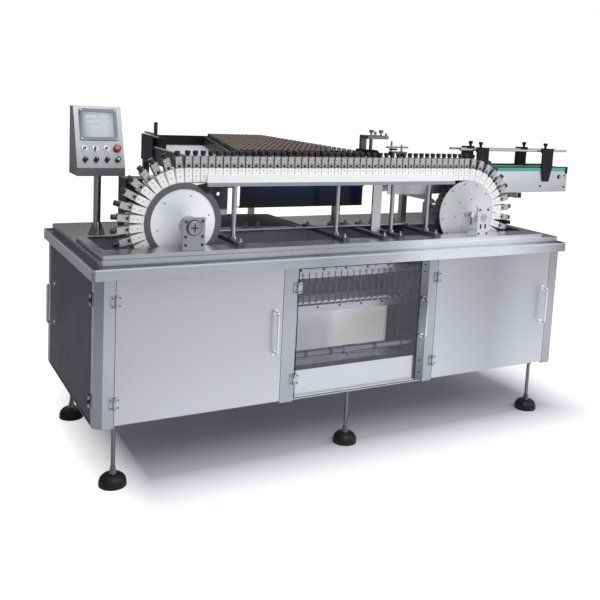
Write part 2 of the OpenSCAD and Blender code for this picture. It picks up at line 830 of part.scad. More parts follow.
// Chain wheels: flange, scalloped rim, ribbed drum and hub
drum_r = flange_r - drum_step;
rib_r = flange_r - rib_step;
rim_r = pitch_r - roller_r - free;
plate_half = chain_inner / 2 - free * 2;
module rim_outline() {
    difference() {
        circle(r = rim_r);
        circle(r = hub_r - cut);
        for (i = [0:teeth - 1]) rotate((i + 0.5) * 360 / teeth)
            translate([0, rim_r + roller_r - scallop]) circle(r = roller_r);
    }
}
module facing_y() {
    rotate([-90, 0, 0]) children();
}
module wheel() {
    difference() {
        union() {
            facing_y() cylinder(r = flange_r, h = flange_t);
            facing_y() cylinder(r = hub_r, h = drum_w);
            translate([0, chain_y - wheel_y - plate_half, 0]) facing_y()
                linear_extrude(2 * plate_half) rim_outline();
            translate([0, flange_t, 0]) facing_y() linear_extrude(chain_y - wheel_y - chain_inner - flange_t)
                difference() {
                    union() {
                        circle(r = drum_r);
                        for (i = [0:teeth - 1]) rotate((i + 0.5) * 360 / teeth)
                            translate([-rib_w / 2, 0]) square([rib_w, rib_r]);
                    }
                    circle(r = drum_r - flange_t);
                }
        }
        translate([0, -cut, 0]) facing_y() cylinder(r = shaft_r + fit, h = drum_w + 2 * cut);
    }
}
module at_axle(x, y) translate([x, y, axle_z]) children();
module left_wheel() set_up() color("gainsboro") at_axle(wheel_x, wheel_y) wheel();
module right_wheel() set_up() color("gainsboro") at_axle(wheel_x2, wheel_y) wheel();
ring_screws = 8;
module left_wheel_ring() set_up() color("dimgray") at_axle(wheel_x, wheel_y - ring_t) facing_y() {
    linear_extrude(ring_t) difference() {
        circle(r = flange_r);
        circle(r = ring_r);
    }
    for (i = [0:ring_screws - 1]) rotate((i + 0.5) * 360 / ring_screws)
        translate([0, (flange_r + ring_r) / 2, -screw_r / 2]) cylinder(r = screw_r, h = screw_r / 2);
}
shaft_y0 = block_y - shaft_end;
shaft_y1 = gear_y + rear_block_t + shaft_end * 2;
module shaft() {
    rod_y([0, shaft_y0, 0], shaft_r, shaft_y1 - shaft_y0);
    rod_y([0, wheel_y + drum_w + free, 0], shaft_r * 1.5, flange_t);
}
module left_shaft() set_up() color("silver") at_axle(wheel_x, 0) shaft();
module right_shaft() set_up() color("silver") at_axle(wheel_x2, 0) shaft();

// Pedestal bearing of the left wheel on the curb and rear bearing of the right wheel on the table
module shaft_bearings() set_up() color("silver") {
    base_z = curb_z - axle_z;
    at_axle(wheel_x, 0) difference() {
        union() {
            block([-block_w / 2, block_y, base_z], [block_w / 2, block_y + block_t, bearing_up]);
            rod_y([0, block_y, 0], housing_r, housing_l);
            block([-housing_r, block_y, base_z], [housing_r, block_y + housing_l, base_z + block_t]);
            block([-block_t / 2, block_y, base_z], [block_t / 2, block_y + housing_l, 0]);
        }
        rod_y([0, 0, 0], shaft_r + fit, wheel_y);
    }
    at_axle(wheel_x2, 0) difference() {
        union() {
            block([-right_w / 2, gear_y, table_z - axle_z], [right_w / 2, gear_y + rear_block_t, 0]);
            rod_y([0, gear_y, 0], right_w / 2, rear_block_t);
        }
        rod_y([0, gear_y - cut, 0], shaft_r + fit, rear_block_t + 2 * cut);
    }
}

// Bearing of the right wheel with two slots and a chain tension screw
module tension_bearing() set_up() color("white") at_axle(wheel_x2, 0) {
    base_z = curb_z - axle_z;
    screw_z = bearing_up - slot_h;
    difference() {
        union() {
            block([-right_w / 2, block_y, base_z], [right_w / 2, block_y + block_t, bearing_up + block_t]);
            rod_y([0, block_y, 0], housing_r * 0.85, housing_l);
            block([-right_w / 2, block_y, base_z], [right_w / 2, block_y + housing_l, base_z + block_t]);
        }
        rod_y([0, 0, 0], shaft_r + fit, wheel_y);
        for (x = [-slot_in, slot_in - slot_w])
            translate([x, block_y - cut, -slot_h * 2.4]) cube([slot_w, block_t / 2, slot_h]);
    }
    rod_x([-right_w / 2 - slot_h, block_y + block_t / 2, screw_z], slot_w / 2, slot_h);
    block([-right_w / 2 - slot_h - block_t, block_y, screw_z - block_t],
        [-right_w / 2 - slot_h, block_y + block_t, screw_z + block_t]);
}

// Gearbox and motor behind the left wheel
module drive_gearbox() set_up() color("dimgray") difference() {
    gear_x0 = wheel_x + gear_right - gear_w;
    union() {
        block([gear_x0, gear_y, table_z], [gear_x0 + gear_w, gear_y + gear_d, axle_z + gear_up]);
        rod_y([gear_x0 + gear_w - motor_r - flange_t, gear_y + gear_d - cut, axle_z + gear_lift],
            motor_r, motor_l + cut);
    }
    rod_y([wheel_x, gear_y - cut, axle_z], shaft_r + fit, shaft_y1 - gear_y + 4 * cut);
}

// A place on the chain loop: x along the travel, z away from the loop
module on_link(i) {
    j = i - run_links;
    k = i - run_links - half_teeth;
    m = k - run_links;
    if (i < run_links) translate([wheel_x + (i + 0.5) * pitch, 0, axle_z + pitch_r]) children();
    else if (j < half_teeth) at_axle(wheel_x2, 0) rotate([0, (j + 0.5) * 360 / teeth, 0])
        translate([0, 0, chord_r]) children();
    else if (k < run_links) translate([wheel_x2 - (k + 0.5) * pitch, 0, axle_z - pitch_r])
        rotate([0, 180, 0]) children();
    else at_axle(wheel_x, 0) rotate([0, 180 + (m + 0.5) * 360 / teeth, 0])
        translate([0, 0, chord_r]) children();
}
module link_plate(y, bore) {
    translate([0, y + plate_t, 0]) rotate([90, 0, 0]) linear_extrude(plate_t) difference() {
        union() {
            for (s = [-1, 1]) translate([s * pitch / 2, 0]) circle(r = plate_r);
            translate([-pitch / 2, -plate_r]) square([pitch, plate_r * 2]);
        }
        if (bore > 0) for (s = [-1, 1]) translate([s * pitch / 2, 0]) circle(r = bore);
    }
}
module inner_link() {
    half = chain_inner / 2;
    difference() {
        union() {
            link_plate(-half - plate_t, 0);
            link_plate(half, 0);
            for (s = [-1, 1]) rod_y([s * pitch / 2, -half - cut, 0], roller_r, 2 * half + 2 * cut);
        }
        for (s = [-1, 1])
            rod_y([s * pitch / 2, -half - plate_t - cut, 0], pin_r + fit, 2 * (half + plate_t + cut));
    }
}
module outer_link() {
    far = chain_inner / 2 + plate_t + free;
    link_plate(-far - plate_t, 0);
    link_plate(far, 0);
    for (s = [-1, 1]) rod_y([s * pitch / 2, -far - plate_t - cut, 0], pin_r, 2 * (far + plate_t + cut));
}
module roller_chain() set_up() color("darkgray") {
    for (i = [0:loop_links - 1]) on_link(i) translate([0, chain_y, 0]) {
        if (i % 2 == 0) outer_link();
        else inner_link();
    }
}

// White gripper bodies that sit on the link plates
skirt_d = 15;
skirt_r = flange_r + 2 * free - chord_r;
module gripper_bodies() set_up() color("white") {
    for (i = [0:loop_links - 1]) on_link(i) translate([-body_w / 2, body_y0, 0]) rotate([90, 0, 90])
        linear_extrude(body_w)
            polygon([[0, skirt_r], [skirt_d, skirt_r], [skirt_d, plate_r], [body_d, plate_r],
                [body_d, body_top], [0, body_top]]);
}

// Spring jaws round a bottle: foot plate, notched front plate and back plate
jaw_w = body_w - 2 * jaw_in;
jaw_y0 = bottle_y - jaw_gap - jaw_t;
jaw_y1 = bottle_y + jaw_gap;
notch_r = jaw_w / 4;
module gripper_jaws() set_up() color("silver") {
    for (i = [0:loop_links - 1]) on_link(i) translate([0, 0, body_top]) {
        block([-jaw_w / 2, jaw_y0, 0], [jaw_w / 2, jaw_y1 + jaw_t, free]);
        block([-jaw_w / 2, jaw_y1, 0], [jaw_w / 2, jaw_y1 + jaw_t, jaw_h]);
        translate([0, jaw_y0 + jaw_t, 0]) rotate([90, 0, 0]) linear_extrude(jaw_t) difference() {
            translate([-jaw_w / 2, 0]) square([jaw_w, jaw_h]);
            translate([0, notch_r * 1.4]) circle(r = notch_r);
        }
    }
}

// Bottle outline, as shares of its radius and height
bottle_shares = [[0, 0], [1, 0], [1, 0.6], [0.6, 0.7], [0.6, 0.76], [0.88, 0.77], [0.88, 1], [0, 1]];
module bottle() {
    rotate_extrude() polygon([for (p = bottle_shares) [p.x * bottle_r, p.y * bottle_h]]);
}
module gripped_bottles() set_up() color("saddlebrown") {
    for (i = [0:loop_links - 1]) on_link(i) translate([0, bottle_y, bottle_base]) bottle();
}

// White nylon rails before the upper and the lower run, with the steel bars that carry them
post_shares = [0.149, 0.490, 0.633, 0.692, 0.830];
flat_post = 2;
function post_x(share) = wheel_x + share * (wheel_x2 - wheel_x);
rail_x0 = wheel_x + rail_in;
rail_x1 = wheel_x2 - rail_in;
module above_and_below() {
    translate([0, 0, axle_z]) children();
    translate([0, 0, axle_z]) mirror([0, 0, 1]) children();
}
module guide_rails() set_up() color("white") above_and_below()
    block([rail_x0, guide_y, flange_r], [rail_x1, guide_y + rail_t, flange_r + rail_h]);
module guide_bars() set_up() color("silver") {
    above_and_below() {
        block([rail_x0, guide_y, flange_r - bar_h], [rail_x1, guide_y + rail_t, flange_r]);
        for (s = post_shares)
            rod_y([post_x(s), guide_y - screw_r / 2, flange_r - bar_h / 2], screw_r, screw_r / 2 + cut);
    }
    z = cab_z0 + sill_bar_z;
    block([tank_x0 + tank_sheet, sill_bar_y, z],
        [tank_x1 - tank_sheet, sill_bar_y + flange_t, z + sill_bar_h]);
    for (s = post_shares)
        rod_y([post_x(s), sill_bar_y - screw_r, z + sill_bar_h / 2], screw_r * 1.5, screw_r + cut);
}
module rail_posts() set_up() color("gainsboro") {
    y = guide_y + rail_t / 2;
    z0 = curb_z + cross_h;
    z1 = axle_z + flange_r - bar_h;
    z2 = axle_z - flange_r + bar_h;
    for (i = [0:len(post_shares) - 1]) {
        x = post_x(post_shares[i]);
        if (i == flat_post) {
            block([x - flat_w / 2, y - rail_t / 2, z0], [x + flat_w / 2, y + rail_t / 2, z1]);
            block([x - flat_w / 2, y - rail_t / 2, z2], [x + flat_w / 2, y + rail_t / 2, curb_z]);
        } else {
            rod_z([x, y, z0], rail_post_d / 2, z1 - z0);
            rod_z([x, y, z0], rail_post_d * 0.8, rail_t);
            rod_z([x, y, z2], rail_post_d / 2, curb_z - z2);
        }
    }
}
module cross_bars() set_up() color("black")
    for (s = post_shares)
        block([post_x(s) - cross_w / 2, curb_front + cross_in, curb_z],
            [post_x(s) + cross_w / 2, curb_y1, curb_z + cross_h]);

// Spray header under the lower run with a nozzle for each bottle
module spray_header() set_up() color("silver") {
    z = cab_z0 + header_z;
    y0 = bottle_y - header_h / 2;
    difference() {
        block([tank_x0 + tank_sheet, y0, z], [tank_x1 - tank_sheet, y0 + header_h, z + header_h]);
        block([tank_x0 + tank_sheet + tube_wall, y0 + tube_wall, z + tube_wall],
            [tank_x1 - tank_sheet - tube_wall, y0 + header_h - tube_wall, z + header_h - tube_wall]);
    }
    for (i = [0:run_links - 1])
        rod_z([wheel_x + (i + 0.5) * pitch, bottle_y, z + header_h - cut], nozzle_r, nozzle_l + cut);
}

// Water pipe behind the pane with a ball valve and its lever
module water_pipe() set_up() color("silver") translate([0, pipe_y, cab_z0 + pipe_z]) {
    difference() {
        union() {
            rod_x([wd_x0, 0, 0], pipe_r, window_w);
            rod_x([valve_x - valve_l / 2, 0, 0], valve_r, valve_l);
            rod_z([valve_x, 0, -valve_r - stem_r], stem_r * 2, valve_r + stem_r);
            rod_z([valve_x, 0, -valve_r - stem_r - 2 * lever_t], stem_r, valve_r + stem_r);
        }
        rod_x([wd_x0 - cut, 0, 0], pipe_r - tube_wall, window_w + 2 * cut);
    }
}
module valve_lever() set_up() color("red")
    translate([valve_x, pipe_y, cab_z0 + pipe_z - valve_r - stem_r - free - lever_t]) difference() {
        union() {
            cylinder(r = lever_w / 2, h = lever_t);
            block([0, -lever_w / 2, 0], [lever_l, lever_w / 2, lever_t]);
        }
        translate([0, 0, -cut]) cylinder(r = stem_r + fit, h = lever_t + 2 * cut);
    }

// Pump on the floor panel under the tank
module water_pump() set_up() color("slategray") translate([pump_x, pump_y, cab_z0]) {
    axis_z = pump_r * 1.25;
    rod_x([0, 0, axis_z], pump_r, pump_l);
    rod_x([-pump_r, 0, axis_z], pump_r * 1.1, pump_r);
    rod_x([-pump_r * 2, 0, axis_z], pump_r / 3, pump_r);
    rod_z([-pump_r / 2, 0, axis_z], pump_r / 3, pump_r * 1.6);
    block([0, -pump_r, 0], [pump_l, pump_r, pump_r / 2]);
}

// Control box on its post
slope_rise = hmi_h - hmi_band;
slope_l = sqrt(slope_rise * slope_rise + hmi_run * hmi_run);
lean = atan(hmi_run / slope_rise);
box_y0 = hmi_y - hmi_fore;
box_x0 = hmi_x - hmi_w / 2;
module hmi_post() set_up() color("silver") translate([hmi_x, hmi_y, table_z]) {
    rod_z([0, 0, 0], hmi_post_d / 2, hmi_z - table_z);
    rod_z([0, 0, 0], hmi_base_r, flange_t);
    for (a = [0, 90]) rotate(a) translate([0, flange_t / 4, 0]) rotate([90, 0, 0])
        linear_extrude(flange_t / 2)
            polygon([[-hmi_base_r, flange_t], [hmi_base_r, flange_t],
                [hmi_post_d / 2, hmi_base_r * 1.6], [-hmi_post_d / 2, hmi_base_r * 1.6]]);
}
// Side outline of the box, shrunk by a wall
module box_outline(w) {
    low = w * tan(lean / 2);
    high = w * (1 - sin(lean)) / cos(lean);
    polygon([[w, w], [w, hmi_band - low], [hmi_run + high, hmi_h - w],
        [hmi_d - w, hmi_h - w], [hmi_d - w, w]]);
}
// Place on the slope: shares of its width and of its length from the top, z points outwards
module on_slope(u, v) {
    translate([box_x0 + u * hmi_w, box_y0 + hmi_run * (1 - v), hmi_z + hmi_h - v * slope_rise])
        rotate([90 - lean, 0, 0]) children();
}
ctrl_shares = [0.176, 0.402, 0.630, 0.856];
row_shares = [0.681, 0.864];
module hmi_box() set_up() color("ghostwhite") {
    difference() {
        translate([box_x0, box_y0, hmi_z]) rotate([90, 0, 90]) linear_extrude(hmi_w) box_outline(0);
        translate([box_x0 + hmi_wall, box_y0, hmi_z]) rotate([90, 0, 90])
            linear_extrude(hmi_w - 2 * hmi_wall) box_outline(hmi_wall);
        for (u = ctrl_shares, v = row_shares) on_slope(u, v)
            translate([0, 0, -hmi_wall - cut]) cylinder(r = ctrl_r + fit, h = hmi_wall + 2 * cut);
    }
    for (u = ctrl_shares, v = row_shares) on_slope(u, v) difference() {
        cylinder(r = ctrl_r + collar_w, h = ctrl_h / 2);
        translate([0, 0, -cut]) cylinder(r = ctrl_r + fit, h = ctrl_h);
    }
}
bezel_share = (bezel_h / 2 + hmi_wall * 4) / slope_l;
module hmi_bezel() set_up() color("dimgray") on_slope(0.5, bezel_share) linear_extrude(bezel_t) difference() {
    round_outline([-bezel_w / 2, -bezel_h / 2], [bezel_w / 2, bezel_h / 2], bezel_in / 3);
    square([bezel_w - 2 * bezel_in, bezel_h - 2 * bezel_in], center = true);
}
module hmi_screen() set_up() color("cadetblue") on_slope(0.5, bezel_share) linear_extrude(bezel_t / 2)
    square([bezel_w - 2 * (bezel_in + free), bezel_h - 2 * (bezel_in + free)], center = true);

// Controls: each has a stem in its bore
stem_in = hmi_wall * 3;
collar_z = ctrl_h / 2;
module stem(h) {
    translate([0, 0, -stem_in]) cylinder(r = ctrl_r, h = stem_in + h);
}
module push_cap() {
    stem(collar_z + ctrl_h);
}
module turn_knob(r) {
    stem(collar_z + ctrl_h);
    translate([0, 0, collar_z + free]) cylinder(r = r, h = ctrl_h);
    translate([-r * 0.3, -r, collar_z + free]) cube([r * 0.6, 2 * r, knob_h]);
}
module start_button() set_up() color("green") on_slope(ctrl_shares[0], row_shares[0]) push_cap();
module key_switch() set_up() color("seagreen") on_slope(ctrl_shares[1], row_shares[0]) turn_knob(ctrl_r);
module lamp_button() set_up() color("darkred") on_slope(ctrl_shares[2], row_shares[0]) push_cap();
module emergency_stop() set_up() color("red") on_slope(ctrl_shares[3], row_shares[0]) {
    stem(collar_z + ctrl_h);
    translate([0, 0, collar_z + press + 2 * free]) cylinder(r = mushroom_r, h = ctrl_h);
    translate([0, 0, collar_z + press + 2 * free + ctrl_h])
        cylinder(r1 = mushroom_r, r2 = mushroom_r * 0.6, h = ctrl_h);
}
module selector_a() set_up() color("black") on_slope(ctrl_shares[0], row_shares[1]) turn_knob(knob_r);
module selector_b() set_up() color("black") on_slope(ctrl_shares[1], row_shares[1]) turn_knob(knob_r);
module selector_c() set_up() color("black") on_slope(ctrl_shares[2], row_shares[1]) turn_knob(knob_r);
module speed_knob() set_up() color("black") on_slope(ctrl_shares[3], row_shares[1]) {
    stem(collar_z + ctrl_h);
    translate([0, 0, collar_z + free]) cylinder(r = knob_r, h = knob_h);
    translate([-knob_r / 8, 0, collar_z + free + knob_h - cut]) cube([knob_r / 4, knob_r, cut * 1.5]);
}

// Feed table with posts on the worktop and legs on the floor
deck_z0 = deck_z - deck_t;
feed_z0 = deck_z0 - feed_frame_h;
post_y = gear_y + gear_gap;
module feed_frame() set_up() color("silver") {
    t = feed_tube;
    ys = [post_y, feed_y1 - t];
    for (x = [feed_x, feed_x1 - t]) {
        hollow([x, feed_y, feed_z0], [x + t, feed_y1, deck_z0], 1);
        hollow([x, ys[0], table_z], [x + t, ys[0] + t, feed_z0], 2);
        hollow([x, ys[1], flange_t], [x + t, ys[1] + t, feed_z0], 2);
        block([x - t / 2, ys[1] - t, 0], [x + t * 1.5, feed_y1, flange_t]);
    }
    for (y = [feed_y, post_y, feed_y1 - t])
        hollow([feed_x + t, y, deck_z0 - t], [feed_x1 - t, y + t, deck_z0], 0);
    hollow([feed_x + t, feed_y1 - t, leg_h], [feed_x1 - t, feed_y1, leg_h + t], 0);
    cam_x = feed_x - cam_w;
    cam_z = deck_z - cam_drop - cam_h;
    difference() {
        union() {
            block([cam_x, feed_y, cam_z], [feed_x, feed_y + flange_t, cam_z + cam_h]);
            block([feed_x - flange_t, feed_y, cam_z], [feed_x, feed_y + t, cam_z + cam_h]);
            block([feed_x - flange_t, feed_y, cam_z], [feed_x, feed_y + t, deck_z0]);
        }
        for (z = [cam_h / 4, cam_h * 3 / 4])
            rod_y([cam_x + cam_w / 2, feed_y - cut, cam_z + z], shaft_r / 2, flange_t + 2 * cut);
    }
    rod_z([feed_x + t * 2, feed_y1 - t, deck_z], t / 3, feed_post_h);
}
module feed_deck() set_up() color("whitesmoke")
    block([feed_x, feed_y, deck_z0], [feed_x1, feed_y1, deck_z]);
module feed_apron() set_up() color("midnightblue") {
    x0 = feed_x + apron_in;
    z1 = deck_z - apron_drop;
    block([x0, feed_y - apron_t, z1 - apron_h], [feed_x1 - apron_drop / 3, feed_y, z1]);
    block([x0, feed_y - apron_t, z1 - apron_h],
        [feed_x1 - apron_drop / 3, feed_y + feed_tube, z1 - apron_h + apron_t]);
}
rail_far = feed_y1 - feed_tube * 2;
divider_x0 = feed_x + 3 * deck_t;
divider_slope = (divider_in - 3 * deck_t) / (rail_far - feed_y);
function divider_x(y) = divider_x0 + divider_slope * (y - feed_y);
module feed_rails() set_up() color("black") translate([0, 0, deck_z]) linear_extrude(feed_rail_h) {
    e = deck_t;
    polygon([[divider_x(feed_y) - e, feed_y], [divider_x(feed_y), feed_y],
        [divider_x(rail_far), rail_far], [divider_x(rail_far) - e, rail_far]]);
    square_at([feed_x1 - 2 * e, feed_y], [feed_x1 - e, rail_far]);
    square_at([feed_x + e, rail_far - e], [feed_x1 - e, rail_far]);
    square_at([feed_x + e, rail_far - left_rail_l], [feed_x + 2 * e, rail_far]);
}

// Bottles on the deck: close rows at the front and looser rows to the rear, right of the divider
lane = 2 * bottle_r + lane_gap;
row_pitch = lane * sin(60);
deck_margin = bottle_r + deck_gap;
rows_that_fit = floor((rail_far - deck_t - feed_y - 2 * deck_margin) / row_pitch);
rear_rows = floor((rows_that_fit - deck_rows + 1) / rear_step);
function row_number(j) = j < deck_rows ? j : deck_rows - 1 + (j - deck_rows + 1) * rear_step;
module feed_bottles() set_up() color("saddlebrown") {
    lean_in = sqrt(1 + divider_slope * divider_slope);
    for (j = [0:deck_rows + rear_rows - 1]) {
        k = row_number(j);
        y = feed_y + deck_margin + k * row_pitch;
        x0 = divider_x(y) + deck_margin * lean_in;
        x1 = feed_x1 - 2 * deck_t - deck_margin - (k % 2) / 2 * lane;
        for (i = [0:floor((x1 - x0) / lane)]) translate([x1 - i * lane, y, deck_z]) bottle();
    }
}

// Discharge conveyor with side plates, two supports on the worktop and cross pieces
conv_y1 = conv_y + conv_w;
conv_z0 = belt_z - conv_h;
pulley_z = belt_z - belt_t - pulley_r - free;
pulley_xs = [conv_x + belt_end + belt_t + free + pulley_r, conv_end - belt_end - belt_t - free - pulley_r];
belt_y0 = conv_y + conv_t + belt_t;
belt_w = conv_w - 2 * (conv_t + belt_t);
module conveyor_frame() set_up() color("gainsboro") {
    t = feed_tube;
    difference() {
        for (y = [conv_y, conv_y1 - conv_t])
            block([conv_x, y, conv_z0], [conv_end - belt_end, y + conv_t, belt_z - belt_t]);
        for (x = pulley_xs) rod_y([x, conv_y - cut, pulley_z], axle_r + fit, conv_w + 2 * cut);
    }
    for (x = [conv_x + conv_leg_a, conv_x + conv_leg_b]) {
        block([x, conv_y + conv_t, conv_z0], [x + t, conv_y1 - conv_t, conv_z0 + pulley_r / 4]);
        hollow([x, conv_y, conv_z0 - t], [x + t, post_y + t, conv_z0], 1);
        hollow([x, post_y, table_z], [x + t, post_y + t, conv_z0 - t], 2);
        block([x - t / 2, post_y, table_z], [x + t * 1.5, post_y + t * 1.5, table_z + flange_t]);
    }
    block([conv_x + conv_leg_a / 2, conv_y + conv_t, pulley_z + pulley_r / 2],
        [conv_x + conv_leg_a * 0.7, conv_y1 - conv_t, pulley_z + pulley_r * 0.8]);
}
module conveyor_belt() set_up() color("teal") translate([0, belt_y0 + belt_w, 0])
    rotate([90, 0, 0]) linear_extrude(belt_w) difference() {
        belt_outline(pulley_r + belt_t + free);
        belt_outline(pulley_r + free);
    }
module belt_outline(r) {
    for (x = pulley_xs) translate([x, pulley_z]) circle(r = r);
    translate([pulley_xs[0], pulley_z - r]) square([pulley_xs[1] - pulley_xs[0], 2 * r]);
}
module pulley(x) {
    rod_y([x, belt_y0, pulley_z], pulley_r, belt_w);
    rod_y([x, conv_y - conv_t, pulley_z], axle_r, conv_w + 2 * conv_t);
}
module drive_pulley() set_up() color("gray") pulley(pulley_xs[1]);
module tail_pulley() set_up() color("gray") pulley(pulley_xs[0]);

// Guide rods over the belt and the brackets that carry them
rod_x0 = conv_x + guide_from;
rod_x1 = conv_end - axle_r;
rod_ys = [conv_y + conv_t + guide_d, conv_y1 - conv_t - guide_d];
near_shares = [0.18, 0.79];
far_shares = [0.18, 0.684];
module guide_rods() set_up() color("silver")
    for (y = rod_ys) rod_x([rod_x0, y, belt_z + guide_z], guide_d / 2, rod_x1 - rod_x0);
module bracket_arm(x, a, b) {
    difference() {
        block([x - bracket_w / 4, a, guide_zz - guide_d], [x + bracket_w / 4, b, guide_zz + guide_d]);
        for (y = rod_ys) rod_x([x - bracket_w, y, guide_zz], guide_d / 2 + fit, 2 * bracket_w);
    }
}
module guide_knob(x, y) {
    rod_z([x, y, guide_zz + guide_d - cut], knob_r * 0.6, knob_h + cut);
    rod_z([x, y, guide_zz + guide_d + knob_h], knob_r, knob_h);
}
guide_zz = belt_z + guide_z;
module guide_brackets() set_up() color("black") {
    for (i = [0:len(near_shares) - 1]) {
        x = rod_x0 + near_shares[i] * (rod_x1 - rod_x0);
        drop = i == 0 ? bracket_drop : bracket_drop_long;
        foot = i == 0 ? bracket_w / 2 : bracket_w / 4;
        translate([0, conv_y, 0]) rotate([90, 0, 0]) linear_extrude(bracket_t)
            polygon([[x - bracket_w / 2, guide_zz + guide_d], [x - bracket_w / 2, belt_z],
                [x - foot, belt_z - drop], [x + foot, belt_z - drop],
                [x + bracket_w / 2, belt_z], [x + bracket_w / 2, guide_zz + guide_d]]);
        bracket_arm(x, conv_y - bracket_t, rod_ys[0] + guide_d);
        guide_knob(x, rod_ys[0]);
    }
    for (s = far_shares) {
        x = rod_x0 + s * (rod_x1 - rod_x0);
        block([x - bracket_w / 2, conv_y1, belt_z - bracket_drop],
            [x + bracket_w / 2, conv_y1 + bracket_t, guide_zz + guide_d]);
        bracket_arm(x, rod_ys[1] - guide_d, conv_y1 + bracket_t);
        guide_knob(x, rod_ys[1]);
    }
}

// Transfer head between the deck and the conveyor, and the star wheel under it
head_x0 = feed_x1;
star_x = head_x0 + head_w * 0.42;
star_y = conv_y + conv_w * 0.45;
module transfer_head() set_up() color("dimgray") {
    top = deck_z + head_h;
    t = feed_tube;
    block([head_x0, conv_y, deck_z - bridge_t], [conv_x, conv_y1, deck_z]);
    block([head_x0, conv_y1, deck_z - cam_drop], [conv_x + t, conv_y1 + bridge_t, deck_z + t]);
    block([head_x0 + t, conv_y1 - t / 2, deck_z], [head_x0 + t * 2, conv_y1, top]);
    block([head_x0 + t, star_y - t / 2, top - t / 2], [conv_x + t / 3, conv_y1, top]);
    rod_z([star_x, star_y, deck_z + star_z - knob_h], axle_r, top - deck_z - star_z + knob_h - cut);
    rod_z([star_x, star_y, deck_z + star_z - 2 * knob_h], axle_r * 1.8, knob_h);
    for (x = [star_x, star_x + head_w * 0.4]) {
        rod_z([x, star_y, top], axle_r / 2, knob_h);
        rod_z([x, star_y, top + knob_h], knob_r, knob_h);
    }
}
module star_wheel() set_up() color("white")
    translate([star_x, star_y, deck_z + star_z - knob_h + free]) linear_extrude(knob_h * 2) difference() {
        circle(r = star_r);
        circle(r = axle_r + fit);
        for (i = [0:star_n - 1]) rotate(i * 360 / star_n)
            translate([star_r + bottle_r * 0.3, 0]) circle(r = bottle_r);
    }

// Draws the chosen node, or all of them
base_frame();
cabinet_panels();
worktop();
wash_tank();
foot_spindles();
foot_pads();
fixed_hinges();
left_door();
left_door_handle();
window_pane();
window_stile();
right_door();
right_door_handle();
side_door();
side_door_handle();
left_wheel();
left_wheel_ring();
left_shaft();
right_wheel();
right_shaft();
shaft_bearings();
tension_bearing();
drive_gearbox();
roller_chain();
gripper_bodies();
gripper_jaws();
gripped_bottles();
guide_rails();
guide_bars();
rail_posts();
cross_bars();
spray_header();
water_pipe();
valve_lever();
water_pump();
hmi_post();
hmi_box();
hmi_bezel();
hmi_screen();
start_button();
key_switch();
lamp_button();
emergency_stop();
selector_a();
selector_b();
selector_c();
speed_knob();
feed_frame();
feed_deck();
feed_apron();
feed_rails();
feed_bottles();
transfer_head();
star_wheel();
conveyor_frame();
conveyor_belt();
drive_pulley();
tail_pulley();
guide_rods();
guide_brackets();
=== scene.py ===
"""Looks, light, camera and small visible pieces for the bottle washing machine.

Unless a comment says otherwise, places and sizes are millimetres, counted from the lower front
left corner of the cabinet: X to the right, Y to the rear and Z up from the floor. at() turns
them into the frame's metres.
"""
import math

import bpy
from mathutils import Matrix, Vector


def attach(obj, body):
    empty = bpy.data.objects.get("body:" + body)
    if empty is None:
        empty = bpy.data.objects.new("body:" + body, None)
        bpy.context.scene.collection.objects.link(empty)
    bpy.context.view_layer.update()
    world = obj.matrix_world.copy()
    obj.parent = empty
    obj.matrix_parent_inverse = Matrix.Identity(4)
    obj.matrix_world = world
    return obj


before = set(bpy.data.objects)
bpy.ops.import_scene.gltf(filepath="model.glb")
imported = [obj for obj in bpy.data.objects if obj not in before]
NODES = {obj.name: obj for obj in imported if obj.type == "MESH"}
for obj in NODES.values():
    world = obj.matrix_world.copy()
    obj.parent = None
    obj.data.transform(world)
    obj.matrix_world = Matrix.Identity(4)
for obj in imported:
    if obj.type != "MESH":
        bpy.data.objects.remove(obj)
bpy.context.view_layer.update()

# Middle of the machine's box
MIDDLE_X, MIDDLE_Y = 1196.5, 701.5
MM = 1000.0

# Cabinet, doors and hinges
CABINET_Z = (239, 800)
DOOR_Z = (248, 797)
LEFT_DOOR_X, WINDOW_X, RIGHT_DOOR_X = (42, 718), (778, 1430), (1478, 2150)
SIDE_DOOR_X, SIDE_DOOR_Y = -28, (60, 818)
HINGE_HEIGHTS = (93, 476)

# Rim, table and curb of the worktop
WORKTOP_X = (-60, 2240)
RIM_TOP_Z = 841
TABLE_Z = 867
CURB_Z = 884

# Tank behind the window
BAFFLE_X, BAFFLE_Y, BAFFLE_Z = (784, 1424), (300, 305), (345, 560)

# Chain loop
PITCH, ROUND_PITCHES, RUN_PITCHES = 31.75, 32, 44
AXLE_Z = 972.0
LEFT_X = 341.0
RIGHT_X = LEFT_X + RUN_PITCHES * PITCH
PITCH_R = PITCH / 2 / math.sin(math.pi / ROUND_PITCHES)
CHORD_R = PITCH_R * math.cos(math.pi / ROUND_PITCHES)
WHEEL_Y = 150

# Control box: lower corner, width, height, upright band at its foot, depth of its slope
BOX_X, BOX_Y, BOX_Z = 7.0, 480.0, 1118.0
BOX_W, BOX_H, BOX_BAND, BOX_RUN = 194.0, 278.0, 33.0, 92.0
BOX_RISE = BOX_H - BOX_BAND
BOX_LEAN = math.atan2(BOX_RUN, BOX_RISE)
SCREEN_X, SCREEN_Z = (41, 167), (1260, 1365)

# Feed table, its bottles and the conveyor
BOTTLE_FOOT_Z = 1184.35
APRON_X, APRON_Z = (613, 1207), (1010, 1160)
CONVEYOR_X, CONVEYOR_Z = (1350, 2458), (1056, 1180)
CONVEYOR_Y = 240


def at(x, y, z):
    """Point in the frame, in metres."""
    return Vector(((x - MIDDLE_X) / MM, (y - MIDDLE_Y) / MM, z / MM))


# Shader helpers
def new_material(name):
    m = bpy.data.materials.new(name)
    m.use_nodes = True
    nt = m.node_tree
    return m, nt, nt.nodes["Principled BSDF"]


